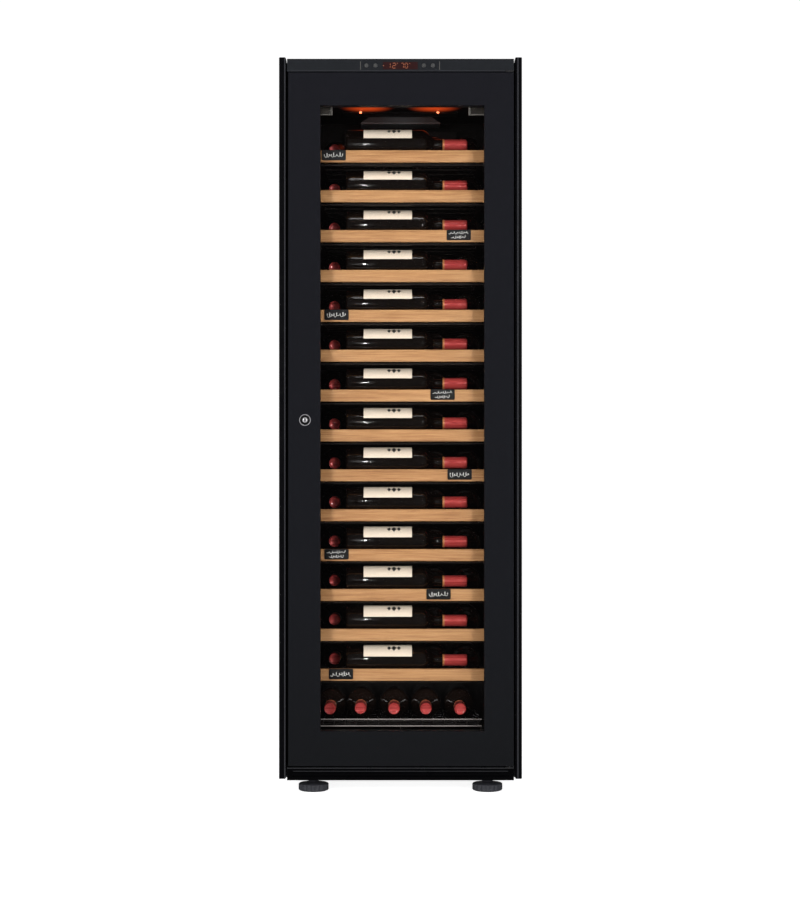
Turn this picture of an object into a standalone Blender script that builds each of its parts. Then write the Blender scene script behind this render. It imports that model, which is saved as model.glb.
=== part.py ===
"""Tall built-in wine cooler with one glazed door and fourteen pull-out shelves.

Units are metres. The origin is on the floor under the middle of the object's box.
+X is to the right as seen from the front, +Y goes to the back and +Z is up.
"""

import math

import bmesh
import bpy
from mathutils import Matrix, Vector

# Overall size
HALF_WIDTH = 0.296
HEIGHT = 1.795
FRONT = -0.285
BACK = 0.285
GAP = 0.0003

# Cabinet
CASE_HALF = 0.290
CASE_TOP = 1.790
CASE_BACK = 0.262
CASE_WALL = 0.0012
FACE = -0.2352
FLANGE = 0.0015
LINER_WALL = 0.0017
ROOM_HALF = 0.2425
ROOM_FLOOR = 0.1305
ROOM_CEILING = 1.7145
ROOM_BACK = 0.2345
STEP_FRONT = 0.115
STEP_TOP = 0.254
NICHE_HALF = 0.245
NICHE_FRONT = 0.142
NICHE_TOP = 0.224
BASE_LOW = 0.0335
BASE_TOP = 0.062
BASE_WALL = 0.002

# Front trims, control fascia and plinth grille
TRIM_INNER = 0.2797
TRIM_FRONT = -0.2815
TRIM_LOW = 0.0365
STRIP_HALF = 0.2765
STRIP_FRONT = -0.2805
STRIP_BACK = FACE - GAP
FASCIA_LOW = 1.760
FASCIA_TOP = 1.7912
PLINTH_LOW = 0.033
PLINTH_TOP = 0.066
GROOVE_Z = (0.043, 0.053)
GROOVE_HALF = 0.0015
GROOVE_DEPTH = 0.003
GROOVE_END = 0.010
BUTTON_X = (-0.083, -0.061, 0.057, 0.079)
BUTTON_Z = 1.775
BUTTON_RADIUS = 0.005
BUTTON_FRONT = -0.2812
BUTTON_LENGTH = 0.0035
BUTTON_POCKET = -0.2765

# Door
GLASS = 0.004
GLASS_FRONT = -0.2825
DOOR_LEFT = -0.2735
DOOR_RIGHT = 0.2760
DOOR_LOW = 0.068
DOOR_TOP = 1.7575
WINDOW_LEFT = -0.1955
WINDOW_RIGHT = 0.2045
WINDOW_LOW = 0.1525
WINDOW_TOP = 1.678
FRAME_FRONT = GLASS_FRONT + GLASS + GAP
FRAME_BACK = -0.2425
REBATE = 0.012
REBATE_FRONT = -0.2485
INNER_GLASS_BACK = -0.2442
GASKET_OUTER = 0.262
GASKET_WIDTH = 0.014
GASKET_MARGIN = 0.014
HINGE = (0.2665, -0.274)
PIN_RADIUS = 0.003
PIN_REACH = 0.010
PIN_PLATE = 0.0029
PLATE_REACH = 0.010

# Lock
LOCK_X = -0.2326
LOCK_Z = 0.911
LOCK_RADIUS = 0.0117
LOCK_SHAFT = 0.008
CAM_LENGTH = 0.051
CAM_WIDTH = 0.008
CAM_FRONT = -0.2635
CAM_BACK = -0.2605
KEEPER_LOW = 0.0065
KEEPER_HIGH = 0.029
KEYWAY = (0.001, 0.0045, 0.004)

# Shelves
SHELVES = 14
SHELF_TOP = 1.579
SHELF_PITCH = 0.0986
BOARD_HALF = 0.210
BOARD_HEIGHT = 0.0294
BOARD_FRONT = -0.2105
BOARD_BACK = -0.1945
TRAY_DROP = 0.033
TRAY_THICKNESS = 0.003
TRAY_HALF = 0.2075
TRAY_BACK = 0.165
WING_HALF = 0.2235
WING_FRONT = -0.090
SLAT = 0.018
SLOTS = 4
RACK_TIP = 0.2165
RACK_WALL = 0.2375
RACK_OUTER = 0.2415
RACK_LEDGE = 0.0045
RACK_TOP = 1.690
RACK_FRONT = -0.190
RACK_BACK = 0.205

# Bottle grid on the room's floor
GRID_HALF = 0.205
GRID_FRONT = -0.200
GRID_BACK = 0.105
GRID_LOW = 0.1525
GRID_TOP = 0.1575
GRID_BAR = 0.006
GRID_BARS = 8
GRID_LEG = 0.004

# Feet
FOOT_X = 0.214
FOOT_Y = 0.222
FOOT_PAD = 0.0374
FOOT_PAD_TOP = 0.0195
FOOT_NECK = 0.0122
FOOT_STUD = 0.005
STUD_TOP = 0.058

# Cooling system
COMPRESSOR = (0.060, 0.202)
COMPRESSOR_RADII = (0.080, 0.050)
COMPRESSOR_TOP = 0.204
CONDENSER_FAN = (-0.150, 0.202, 0.125)
CONDENSER_FAN_RADIUS = 0.048
CONDENSER_FAN_DEPTH = 0.020
DUCT_HALF = 0.150
DUCT_FRONT = 0.2125
DUCT_LOW = 0.300
DUCT_TOP = 1.690
DUCT_WALL = 0.002
CIRCULATION_FAN = (0.0, 0.2225, 1.610)
CIRCULATION_FAN_RADIUS = 0.055
CIRCULATION_FAN_DEPTH = 0.016
FAN_BLADES = 7
BLADE_PITCH = 28
BLADE_HALF_THICKNESS = 0.0009
COIL_RADIUS = 0.0032
COIL_HALF = 0.225
COIL_LOW = 0.300
COIL_ROWS = 12
COIL_PITCH = 0.104
INLET_LOW = (-0.235, 0.246)
INLET_HIGH = (-0.185, 0.276)
INLET_DEPTH = 0.012
INLET_RIM = (0.0125, 0.007)
INLET_FLOOR = 0.002


def clear_scene():
    for obj in list(bpy.data.objects):
        bpy.data.objects.remove(obj, do_unlink=True)


def collection(name):
    found = bpy.data.collections.new(name)
    bpy.context.scene.collection.children.link(found)
    return found


def material(name, colour, roughness, metallic=0.0, alpha=1.0):
    made = bpy.data.materials.new(name)
    made.use_nodes = True
    shader = made.node_tree.nodes["Principled BSDF"]
    shader.inputs["Base Color"].default_value = (*colour, 1.0)
    shader.inputs["Roughness"].default_value = roughness
    shader.inputs["Metallic"].default_value = metallic
    shader.inputs["Alpha"].default_value = alpha
    made.diffuse_color = (*colour, alpha)
    return made


def add(name, mesh, where=(0.0, 0.0, 0.0)):
    obj = bpy.data.objects.new(name, mesh)
    obj.location = where
    PARTS.objects.link(obj)
    return obj


def box(name, low, high):
    """A block between two corners, with its origin at its centre."""
    low, high = Vector(low), Vector(high)
    shape = bmesh.new()
    bmesh.ops.create_cube(shape, size=1.0)
    bmesh.ops.scale(shape, vec=high - low, verts=shape.verts)
    mesh = bpy.data.meshes.new(name)
    shape.to_mesh(mesh)
    shape.free()
    return add(name, mesh, (low + high) / 2)


def rod(name, radius, start, end, segments=20):
    """A round bar between two points, with its origin at the first."""
    start, end = Vector(start), Vector(end)
    span = end - start
    shape = bmesh.new()
    bmesh.ops.create_cone(
        shape, cap_ends=True, segments=segments, radius1=radius, radius2=radius, depth=span.length
    )
    turn = span.to_track_quat("Z", "Y").to_matrix().to_4x4()
    bmesh.ops.transform(shape, matrix=Matrix.Translation(span / 2) @ turn, verts=shape.verts)
    mesh = bpy.data.meshes.new(name)
    shape.to_mesh(mesh)
    shape.free()
    return add(name, mesh, start)


def mesh_from(curve_object, turn):
    """The curve object's surface as a mesh in world space, with its caps welded on."""
    graph = bpy.context.evaluated_depsgraph_get()
    mesh = bpy.data.meshes.new_from_object(curve_object.evaluated_get(graph))
    shape = bmesh.new()
    shape.from_mesh(mesh)
    bmesh.ops.remove_doubles(shape, verts=shape.verts, dist=1e-6)
    bmesh.ops.transform(shape, matrix=turn, verts=shape.verts)
    bmesh.ops.recalc_face_normals(shape, faces=shape.faces)
    shape.to_mesh(mesh)
    shape.free()
    bpy.data.objects.remove(curve_object)
    return mesh


PLANES = {
    "XY": Matrix.Identity(4),
    "XZ": Matrix(((1, 0, 0, 0), (0, 0, 1, 0), (0, 1, 0, 0), (0, 0, 0, 1))),
    "YZ": Matrix(((0, 0, 1, 0), (1, 0, 0, 0), (0, 1, 0, 0), (0, 0, 0, 1))),
}


def slab(name, plane, outline, low, high, holes=()):
    """A flat outline in a plane, given thickness from low to high along the third axis."""
    curve = bpy.data.curves.new(name, "CURVE")
    curve.dimensions = "2D"
    curve.fill_mode = "BOTH"
    curve.extrude = (high - low) / 2
    for ring in (outline, *holes):
        spline = curve.splines.new("POLY")
        spline.points.add(len(ring) - 1)
        for point, (across, along) in zip(spline.points, ring):
            point.co = (across, along, 0.0, 1.0)
        spline.use_cyclic_u = True
    obj = add(name, curve)
    bpy.context.view_layer.update()
    middle = Matrix.Translation((0.0, 0.0, (low + high) / 2))
    return add(name, mesh_from(obj, PLANES[plane] @ middle))


def rectangle(left, right, low, high):
    return [(left, low), (right, low), (right, high), (left, high)]


def turned(name, profile, where, steps=24):
    """A profile of (radius, height) points, down its outer side, turned about its own Z axis."""
    mesh = bpy.data.meshes.new(name)
    edges = [(i, i + 1) for i in range(len(profile) - 1)]
    mesh.from_pydata([(radius, 0.0, height) for radius, height in profile], edges, [])
    obj = add(name, mesh, where)
    screw = obj.modifiers.new("Turn", "SCREW")
    screw.steps = screw.render_steps = steps
    screw.use_merge_vertices = True
    screw.merge_threshold = 0.00005
    screw.use_smooth_shade = True
    return obj


def tube(name, points, radius):
    """A round tube along a polyline, with filled ends."""
    curve = bpy.data.curves.new(name, "CURVE")
    curve.dimensions = "3D"
    curve.bevel_depth = radius
    curve.bevel_resolution = 2
    curve.use_fill_caps = True
    spline = curve.splines.new("POLY")
    spline.points.add(len(points) - 1)
    for point, where in zip(spline.points, points):
        point.co = (*where, 1.0)
    return add(name, curve)


def boolean(obj, other, operation):
    """Cuts other out of obj, or joins it on. other becomes a hidden helper."""
    PARTS.objects.unlink(other)
    CUTTERS.objects.link(other)
    other.hide_render = True
    other.display_type = "WIRE"
    modifier = obj.modifiers.new(other.name, "BOOLEAN")
    modifier.operation = operation
    modifier.solver = "EXACT"
    modifier.object = other


def cut(obj, *others):
    for other in others:
        boolean(obj, other, "DIFFERENCE")


def join(obj, *others):
    for other in others:
        boolean(obj, other, "UNION")


def bevel(obj, width, segments=1):
    modifier = obj.modifiers.new("Edges", "BEVEL")
    modifier.width = width
    modifier.segments = segments
    modifier.limit_method = "ANGLE"


def remove_sides(obj, *normals):
    """Opens a closed shape by removing its outermost faces that look along each normal."""
    shape = bmesh.new()
    shape.from_mesh(obj.data)
    for normal in map(Vector, normals):
        furthest = max(vert.co.dot(normal) for vert in shape.verts)
        doomed = [
            face
            for face in shape.faces
            if face.normal.dot(normal) > 0.99 and face.calc_center_median().dot(normal) > furthest - GAP
        ]
        bmesh.ops.delete(shape, geom=doomed, context="FACES")
    shape.to_mesh(obj.data)
    shape.free()


def solidify(obj, thickness, offset):
    modifier = obj.modifiers.new("Wall", "SOLIDIFY")
    modifier.thickness = thickness
    modifier.offset = offset
    modifier.use_even_offset = True


def paint(finish, *objects):
    for obj in objects:
        obj.data.materials.clear()
        obj.data.materials.append(finish)


def joint_frame(name, where, *objects):
    """An empty on a joint's axis that carries the pieces moving about it."""
    empty = bpy.data.objects.new(name, None)
    empty.location = where
    empty.empty_display_size = 0.05
    PARTS.objects.link(empty)
    bpy.context.view_layer.update()
    for obj in objects:
        obj.parent = empty
        obj.matrix_parent_inverse = empty.matrix_world.inverted()


def shelf_top(row):
    return SHELF_TOP - row * SHELF_PITCH


def room_outline(grow, front):
    """Side outline of the bottle room with its step over the compressor, grown behind its mouth."""
    floor = ROOM_FLOOR - grow
    step_front = STEP_FRONT + grow
    step_top = STEP_TOP - grow
    back = ROOM_BACK + grow
    ceiling = ROOM_CEILING + grow
    return [
        (front, floor),
        (step_front, floor),
        (step_front, step_top),
        (back, step_top),
        (back, ceiling),
        (front, ceiling),
    ]


def outer_case():
    """Folded steel shell round the top, the sides and the back, open in front and below."""
    case = box(
        "outer_case",
        (-CASE_HALF, FACE, TRIM_LOW),
        (CASE_HALF, CASE_BACK, CASE_TOP),
    )
    remove_sides(case, (0, -1, 0), (0, 0, -1))
    solidify(case, CASE_WALL, -1)
    niche = box(
        "case_niche_cutter",
        (-NICHE_HALF, CASE_BACK - 0.01, TRIM_LOW - 0.01),
        (NICHE_HALF, CASE_BACK + 0.01, NICHE_TOP),
    )
    cut(case, niche)
    paint(STEEL_BLACK, case)


def insulation():
    """Foam between the case and the liner, hollow in front and notched for the compressor."""
    side = CASE_HALF - CASE_WALL - GAP
    foam = box(
        "insulation",
        (-side, FACE + FLANGE + GAP, BASE_TOP + GAP),
        (side, CASE_BACK - CASE_WALL - GAP, CASE_TOP - CASE_WALL - GAP),
    )
    grow = LINER_WALL + GAP
    half = ROOM_HALF + grow
    room = slab("foam_room_cutter", "YZ", room_outline(grow, FACE - 0.01), -half, half)
    niche = box(
        "foam_niche_cutter",
        (-NICHE_HALF, NICHE_FRONT, 0.0),
        (NICHE_HALF, BACK, NICHE_TOP),
    )
    cut(foam, room, niche)
    paint(FOAM, foam)


def liner():
    """Thin moulded room with a flange round its mouth for the gasket."""
    half = ROOM_HALF + LINER_WALL
    shell = slab("liner", "YZ", room_outline(LINER_WALL, FACE), -half, half)
    room = slab("room_cutter", "YZ", room_outline(0.0, FACE - 0.01), -ROOM_HALF, ROOM_HALF)
    overlap = LINER_WALL / 2
    inner = ROOM_HALF + overlap
    mouth = rectangle(-inner, inner, ROOM_FLOOR - overlap, ROOM_CEILING + overlap)
    rim = rectangle(-TRIM_INNER + 0.001, TRIM_INNER - 0.001, DOOR_LOW, DOOR_TOP)
    flange = slab("liner_flange", "XZ", rim, FACE, FACE + FLANGE, holes=[mouth])
    join(shell, flange)
    cut(shell, room)
    paint(LINER_BLACK, shell)


def base_tray():
    """Pressed tray under the cabinet, with a hole for each foot's stud."""
    side = CASE_HALF - CASE_WALL - GAP
    tray = box(
        "base_tray",
        (-side, FACE + GAP, BASE_LOW),
        (side, CASE_BACK - CASE_WALL - GAP, BASE_TOP),
    )
    remove_sides(tray, (0, 0, 1))
    solidify(tray, BASE_WALL, -1)
    for x, y, corner in foot_places():
        hole = rod(
            f"stud_hole_{corner}", FOOT_STUD + GAP, (x, y, BASE_LOW - 0.01), (x, y, BASE_LOW + 0.01)
        )
        cut(tray, hole)
    paint(STEEL_GREY, tray)


def trims():
    """Full-height bars that hide the case's front edges. The left one has a keeper slot for the cam."""
    for side, name in ((-1, "left_trim"), (1, "right_trim")):
        inner, outer = sorted((side * TRIM_INNER, side * HALF_WIDTH))
        bar = box(name, (inner, TRIM_FRONT, TRIM_LOW), (outer, FACE - GAP, HEIGHT))
        bevel(bar, 0.0015)
        if side < 0:
            slot = box(
                "cam_slot_cutter",
                (LOCK_X - CAM_LENGTH - 0.0015, CAM_FRONT - 0.002, LOCK_Z - KEEPER_LOW),
                (-TRIM_INNER + 0.01, CAM_BACK + 0.002, LOCK_Z + KEEPER_HIGH),
            )
            cut(bar, slot)
        paint(TRIM_BLACK, bar)


def control_fascia():
    """Top strip with four button pockets and a recess for the upper hinge plate."""
    strip = box(
        "control_fascia",
        (-STRIP_HALF, STRIP_FRONT, FASCIA_LOW),
        (STRIP_HALF, STRIP_BACK, FASCIA_TOP),
    )
    for number, x in enumerate(BUTTON_X, 1):
        pocket = rod(
            f"button_pocket_{number}",
            BUTTON_RADIUS + GAP,
            (x, STRIP_FRONT - 0.01, BUTTON_Z),
            (x, BUTTON_POCKET, BUTTON_Z),
        )
        cut(strip, pocket)
    recess = box(
        "upper_hinge_recess",
        (HINGE[0] - PLATE_REACH - 2 * GAP, STRIP_FRONT - 0.01, FASCIA_LOW - 0.01),
        (STRIP_HALF + 0.01, STRIP_BACK + 0.01, FASCIA_LOW + PIN_PLATE + 2 * GAP),
    )
    cut(strip, recess)
    paint(FASCIA_BLACK, strip)


def plinth_grille():
    """Bottom strip with two long grooves and a recess for the lower hinge plate."""
    strip = box(
        "plinth_grille",
        (-STRIP_HALF, STRIP_FRONT, PLINTH_LOW),
        (STRIP_HALF, STRIP_BACK, PLINTH_TOP),
    )
    end = STRIP_HALF - GROOVE_END
    for number, z in enumerate(GROOVE_Z, 1):
        groove = box(
            f"plinth_groove_{number}",
            (-end, STRIP_FRONT - 0.01, z - GROOVE_HALF),
            (end, STRIP_FRONT + GROOVE_DEPTH, z + GROOVE_HALF),
        )
        cut(strip, groove)
    recess = box(
        "lower_hinge_recess",
        (HINGE[0] - PLATE_REACH - 2 * GAP, STRIP_FRONT - 0.01, PLINTH_TOP - PIN_PLATE - 2 * GAP),
        (STRIP_HALF + 0.01, STRIP_BACK + 0.01, PLINTH_TOP + 0.01),
    )
    cut(strip, recess)
    paint(TRIM_BLACK, strip)


def buttons():
    for number, x in enumerate(BUTTON_X, 1):
        button = rod(
            f"button_{number}",
            BUTTON_RADIUS,
            (x, BUTTON_FRONT, BUTTON_Z),
            (x, BUTTON_FRONT + BUTTON_LENGTH, BUTTON_Z),
        )
        paint(BUTTON_GREY, button)


def hinges():
    """A flat plate in the fascia and one in the plinth, each with a pin that enters the door."""
    x, y = HINGE
    left, right = x - PLATE_REACH, STRIP_HALF - GAP
    front, back = STRIP_FRONT + 0.0005, STRIP_BACK - GAP
    upper = box(
        "hinge_top",
        (left, front, FASCIA_LOW + GAP),
        (right, back, FASCIA_LOW + GAP + PIN_PLATE),
    )
    join(upper, rod("upper_pin", PIN_RADIUS, (x, y, FASCIA_LOW + 0.001), (x, y, DOOR_TOP - PIN_REACH)))
    lower = box(
        "hinge_bottom",
        (left, front, PLINTH_TOP - GAP - PIN_PLATE),
        (right, back, PLINTH_TOP - GAP),
    )
    join(lower, rod("lower_pin", PIN_RADIUS, (x, y, PLINTH_TOP - 0.001), (x, y, DOOR_LOW + PIN_REACH)))
    paint(STEEL_GREY, upper, lower)


def door_frame():
    """Frame bar round the window, with a rebate for the inner glass, pin holes and a cam pocket."""
    rim = rectangle(DOOR_LEFT, DOOR_RIGHT, DOOR_LOW, DOOR_TOP)
    window = rectangle(WINDOW_LEFT, WINDOW_RIGHT, WINDOW_LOW, WINDOW_TOP)
    frame = slab("door_frame", "XZ", rim, FRAME_FRONT, FRAME_BACK, holes=[window])
    rebate = box(
        "rebate_cutter",
        (WINDOW_LEFT - REBATE, REBATE_FRONT, WINDOW_LOW - REBATE),
        (WINDOW_RIGHT + REBATE, FRAME_BACK + 0.01, WINDOW_TOP + REBATE),
    )
    x, y = HINGE
    hole = PIN_RADIUS + GAP
    upper = rod("upper_pin_hole", hole, (x, y, DOOR_TOP + 0.01), (x, y, DOOR_TOP - PIN_REACH - 0.001))
    lower = rod("lower_pin_hole", hole, (x, y, DOOR_LOW - 0.01), (x, y, DOOR_LOW + PIN_REACH + 0.001))
    bore = rod(
        "lock_bore", LOCK_SHAFT + GAP, (LOCK_X, FRAME_FRONT - 0.01, LOCK_Z), (LOCK_X, CAM_FRONT, LOCK_Z)
    )
    pocket = box(
        "cam_pocket",
        (DOOR_LEFT - 0.01, CAM_FRONT - 0.003, LOCK_Z - 0.011),
        (LOCK_X + 0.011, CAM_BACK + 0.003, LOCK_Z + CAM_LENGTH + 0.004),
    )
    cut(frame, rebate, upper, lower, bore, pocket)
    paint(TRIM_BLACK, frame)
    return frame


def door_panes():
    """Printed outer glass over the whole door and clear inner glass in the rebate."""
    outer = box(
        "outer_glass",
        (DOOR_LEFT, GLASS_FRONT, DOOR_LOW),
        (DOOR_RIGHT, GLASS_FRONT + GLASS, DOOR_TOP),
    )
    hole = rod(
        "lock_hole",
        LOCK_RADIUS + GAP,
        (LOCK_X, GLASS_FRONT - 0.01, LOCK_Z),
        (LOCK_X, GLASS_FRONT + 0.01, LOCK_Z),
    )
    cut(outer, hole)
    margin = REBATE - 2 * GAP
    inner = box(
        "inner_glass",
        (WINDOW_LEFT - margin, INNER_GLASS_BACK - GLASS, WINDOW_LOW - margin),
        (WINDOW_RIGHT + margin, INNER_GLASS_BACK, WINDOW_TOP + margin),
    )
    paint(PRINTED_GLASS, outer)
    paint(CLEAR_GLASS, inner)
    return outer, inner


def door_gasket():
    """Soft magnetic seal between the door frame and the cabinet's flange."""
    low, top = DOOR_LOW + GASKET_MARGIN, DOOR_TOP - GASKET_MARGIN
    inner = GASKET_OUTER - GASKET_WIDTH
    outline = rectangle(-GASKET_OUTER, GASKET_OUTER, low, top)
    hole = rectangle(-inner, inner, low + GASKET_WIDTH, top - GASKET_WIDTH)
    seal = slab("door_gasket", "XZ", outline, FRAME_BACK + GAP, FACE - GAP, holes=[hole])
    paint(RUBBER, seal)
    return seal


def lock_cylinder():
    """Key plug with its shaft and the cam that swings into the left trim."""
    plug = rod(
        "lock_cylinder",
        LOCK_RADIUS,
        (LOCK_X, FRONT, LOCK_Z),
        (LOCK_X, GLASS_FRONT + GLASS - 0.0001, LOCK_Z),
    )
    shaft = rod(
        "lock_shaft",
        LOCK_SHAFT,
        (LOCK_X, FRONT + 0.003, LOCK_Z),
        (LOCK_X, CAM_BACK - 0.001, LOCK_Z),
    )
    cam = box(
        "lock_cam",
        (LOCK_X - CAM_WIDTH / 2, CAM_FRONT, LOCK_Z),
        (LOCK_X + CAM_WIDTH / 2, CAM_BACK, LOCK_Z + CAM_LENGTH),
    )
    half_width, half_height, depth = KEYWAY
    keyway = box(
        "keyway_cutter",
        (LOCK_X - half_width, FRONT - 0.01, LOCK_Z - half_height),
        (LOCK_X + half_width, FRONT + depth, LOCK_Z + half_height),
    )
    join(plug, shaft, cam)
    cut(plug, keyway)
    paint(CHROME, plug)
    return plug


def shelf_tray_outline():
    """Plan of a tray: narrow behind the oak front, with wings that ride on the rack's ledges."""
    front = BOARD_BACK + GAP
    return [
        (-TRAY_HALF, front),
        (TRAY_HALF, front),
        (TRAY_HALF, WING_FRONT),
        (WING_HALF, WING_FRONT),
        (WING_HALF, TRAY_BACK),
        (-WING_HALF, TRAY_BACK),
        (-WING_HALF, WING_FRONT),
        (-TRAY_HALF, WING_FRONT),
    ]


def shelves():
    """Fourteen shelves: an oak board in front and a slatted tray behind it, one mesh for each kind."""
    front = BOARD_BACK + GAP + SLAT
    pitch = (TRAY_BACK - front) / SLOTS
    half = TRAY_HALF - SLAT
    holes = [
        rectangle(-half, half, front + slot * pitch, front + (slot + 1) * pitch - SLAT)
        for slot in range(SLOTS)
    ]
    tray_mesh = None
    board_mesh = None
    for row in range(SHELVES):
        top = shelf_top(row)
        number = f"{row + 1:02d}"
        if row == 0:
            bearing = top - TRAY_DROP
            low = bearing - TRAY_THICKNESS
            tray = slab(f"shelf_tray_{number}", "XY", shelf_tray_outline(), low, bearing, holes=holes)
            board = box(
                f"shelf_front_{number}",
                (-BOARD_HALF, BOARD_FRONT, top - BOARD_HEIGHT),
                (BOARD_HALF, BOARD_BACK, top),
            )
            paint(STEEL_OLIVE, tray)
            paint(OAK, board)
            tray_mesh, board_mesh = tray.data, board.data
            board_place = board.location.copy()
        else:
            drop = Vector((0.0, 0.0, -row * SHELF_PITCH))
            tray = add(f"shelf_tray_{number}", tray_mesh, drop)
            board = add(f"shelf_front_{number}", board_mesh, board_place + drop)
        bevel(board, 0.0008)
        joint_frame(f"shelf_slide_{number}", (0.0, BOARD_BACK, top - BOARD_HEIGHT), board, tray)


def racks():
    """Moulded side walls with a row of ledges, one under each tray's wings."""
    ledge_top = shelf_top(SHELVES - 1) - TRAY_DROP - TRAY_THICKNESS - GAP
    ledge_low = ledge_top - RACK_LEDGE
    for side, name in ((-1, "left_rack"), (1, "right_rack")):
        inner, outer = sorted((side * RACK_WALL, side * RACK_OUTER))
        rack = box(name, (inner, RACK_FRONT, ledge_low), (outer, RACK_BACK, RACK_TOP))
        inner, outer = sorted((side * RACK_TIP, side * (RACK_WALL + 0.002)))
        margin = 0.001
        ledge = box(
            f"{name}_ledge",
            (inner, RACK_FRONT + margin, ledge_low),
            (outer, RACK_BACK - margin, ledge_top),
        )
        array = ledge.modifiers.new("Rows", "ARRAY")
        array.count = SHELVES
        array.use_relative_offset = False
        array.use_constant_offset = True
        array.constant_offset_displace = (0.0, 0.0, SHELF_PITCH)
        join(rack, ledge)
        paint(LINER_BLACK, rack)


def bottle_grid():
    """Raised grid on the room's floor that carries the lowest row of bottles."""
    pitch = (2 * GRID_HALF - GRID_BAR) / GRID_BARS
    holes = [
        rectangle(
            -GRID_HALF + GRID_BAR + bar * pitch,
            -GRID_HALF + (bar + 1) * pitch,
            GRID_FRONT + GRID_BAR,
            GRID_BACK - GRID_BAR,
        )
        for bar in range(GRID_BARS)
    ]
    outline = rectangle(-GRID_HALF, GRID_HALF, GRID_FRONT, GRID_BACK)
    grid = slab("bottle_grid", "XY", outline, GRID_LOW, GRID_TOP, holes=holes)
    for side, name in ((-1, "left"), (1, "right")):
        middle = side * (GRID_HALF - GRID_LEG - 0.001)
        leg = box(
            f"grid_leg_{name}",
            (middle - GRID_LEG, GRID_FRONT + 0.001, ROOM_FLOOR + GAP),
            (middle + GRID_LEG, GRID_BACK - 0.001, (GRID_LOW + GRID_TOP) / 2),
        )
        join(grid, leg)
    paint(STEEL_GREY, grid)


def foot_places():
    for y, end in ((-FOOT_Y, "front"), (FOOT_Y, "rear")):
        for x, side in ((-FOOT_X, "left"), (FOOT_X, "right")):
            yield x, y, f"{end}_{side}"


def feet():
    """Screw-in feet: wide pad, short neck and a stud through the base tray."""
    profile = [
        (0.0, STUD_TOP),
        (FOOT_STUD, STUD_TOP),
        (FOOT_STUD, BASE_LOW - GAP),
        (FOOT_NECK, BASE_LOW - GAP),
        (FOOT_NECK, FOOT_PAD_TOP),
        (FOOT_PAD - 0.002, FOOT_PAD_TOP),
        (FOOT_PAD, FOOT_PAD_TOP - 0.002),
        (FOOT_PAD, 0.0),
        (0.0, 0.0),
    ]
    for x, y, corner in foot_places():
        foot = turned(f"foot_{corner}", profile, (x, y, 0.0))
        paint(FOOT_GREY, foot)


def compressor():
    """Domed steel shell on the base tray, longer across than deep."""
    low = BASE_LOW + BASE_WALL + GAP
    height = COMPRESSOR_TOP - low
    waist = height * 0.45
    profile = [(0.0, COMPRESSOR_TOP - low)]
    for step in range(1, 7):
        angle = step * math.pi / 12
        profile.append((math.sin(angle), waist + (height - waist) * math.cos(angle)))
    profile.append((1.0, 0.02))
    profile.append((0.85, 0.0))
    profile.append((0.0, 0.0))
    dome = turned("compressor", profile, (*COMPRESSOR, low))
    graph = bpy.context.evaluated_depsgraph_get()
    mesh = bpy.data.meshes.new_from_object(dome.evaluated_get(graph))
    bpy.data.objects.remove(dome)
    mesh.transform(Matrix.Diagonal((*COMPRESSOR_RADII, 1.0, 1.0)))
    paint(STEEL_BLACK, add("compressor", mesh, (*COMPRESSOR, low)))


def fan(name, centre, axis, radius, depth):
    """A hub with pitched blades, turning about its own axis."""
    centre, axis = Vector(centre), Vector(axis)
    hub = rod(name, radius * 0.38, centre - axis * depth / 2, centre + axis * depth / 2)
    turn = axis.to_track_quat("Z", "Y").to_matrix().to_4x4()
    for number in range(FAN_BLADES):
        blade = box(
            f"{name}_blade_{number + 1}",
            (radius * 0.30, -radius * 0.26, -BLADE_HALF_THICKNESS),
            (radius, radius * 0.26, BLADE_HALF_THICKNESS),
        )
        place = Matrix.Translation(blade.location)
        pitch = Matrix.Rotation(math.radians(BLADE_PITCH), 4, "X")
        around = Matrix.Rotation(number * math.tau / FAN_BLADES, 4, "Z")
        blade.data.transform(Matrix.Translation(centre) @ turn @ around @ pitch @ place)
        blade.location = (0.0, 0.0, 0.0)
        join(hub, blade)
    paint(FAN_BLACK, hub)


def rear_duct_cover():
    """Shallow cover over the evaporator on the room's back wall, open behind, with the fan's opening."""
    cover = box(
        "rear_duct_cover",
        (-DUCT_HALF, DUCT_FRONT, DUCT_LOW),
        (DUCT_HALF, ROOM_BACK - GAP, DUCT_TOP),
    )
    x, _, z = CIRCULATION_FAN
    opening = rod(
        "fan_opening_cutter",
        CIRCULATION_FAN_RADIUS + 0.004,
        (x, DUCT_FRONT - 0.01, z),
        (x, ROOM_BACK + 0.01, z),
        segments=32,
    )
    half = DUCT_HALF - DUCT_WALL
    hollow = box(
        "duct_hollow_cutter",
        (-half, DUCT_FRONT + DUCT_WALL, DUCT_LOW + DUCT_WALL),
        (half, ROOM_BACK + 0.01, DUCT_TOP - DUCT_WALL),
    )
    cut(cover, opening, hollow)
    paint(LINER_BLACK, cover)


def condenser_coil():
    """Steel tube that runs to and fro across the back."""
    y = BACK - COIL_RADIUS
    bend = COIL_PITCH / 2
    straight = COIL_HALF - bend
    points = []
    for row in range(COIL_ROWS):
        z = COIL_LOW + row * COIL_PITCH
        side = 1 if row % 2 == 0 else -1
        points.append((-side * straight, y, z))
        points.append((side * straight, y, z))
        if row < COIL_ROWS - 1:
            for step in range(1, 6):
                angle = step * math.pi / 6
                reach = straight + bend * math.sin(angle)
                points.append((side * reach, y, z + bend - bend * math.cos(angle)))
    paint(STEEL_BLACK, tube("condenser_coil", points, COIL_RADIUS))


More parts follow.
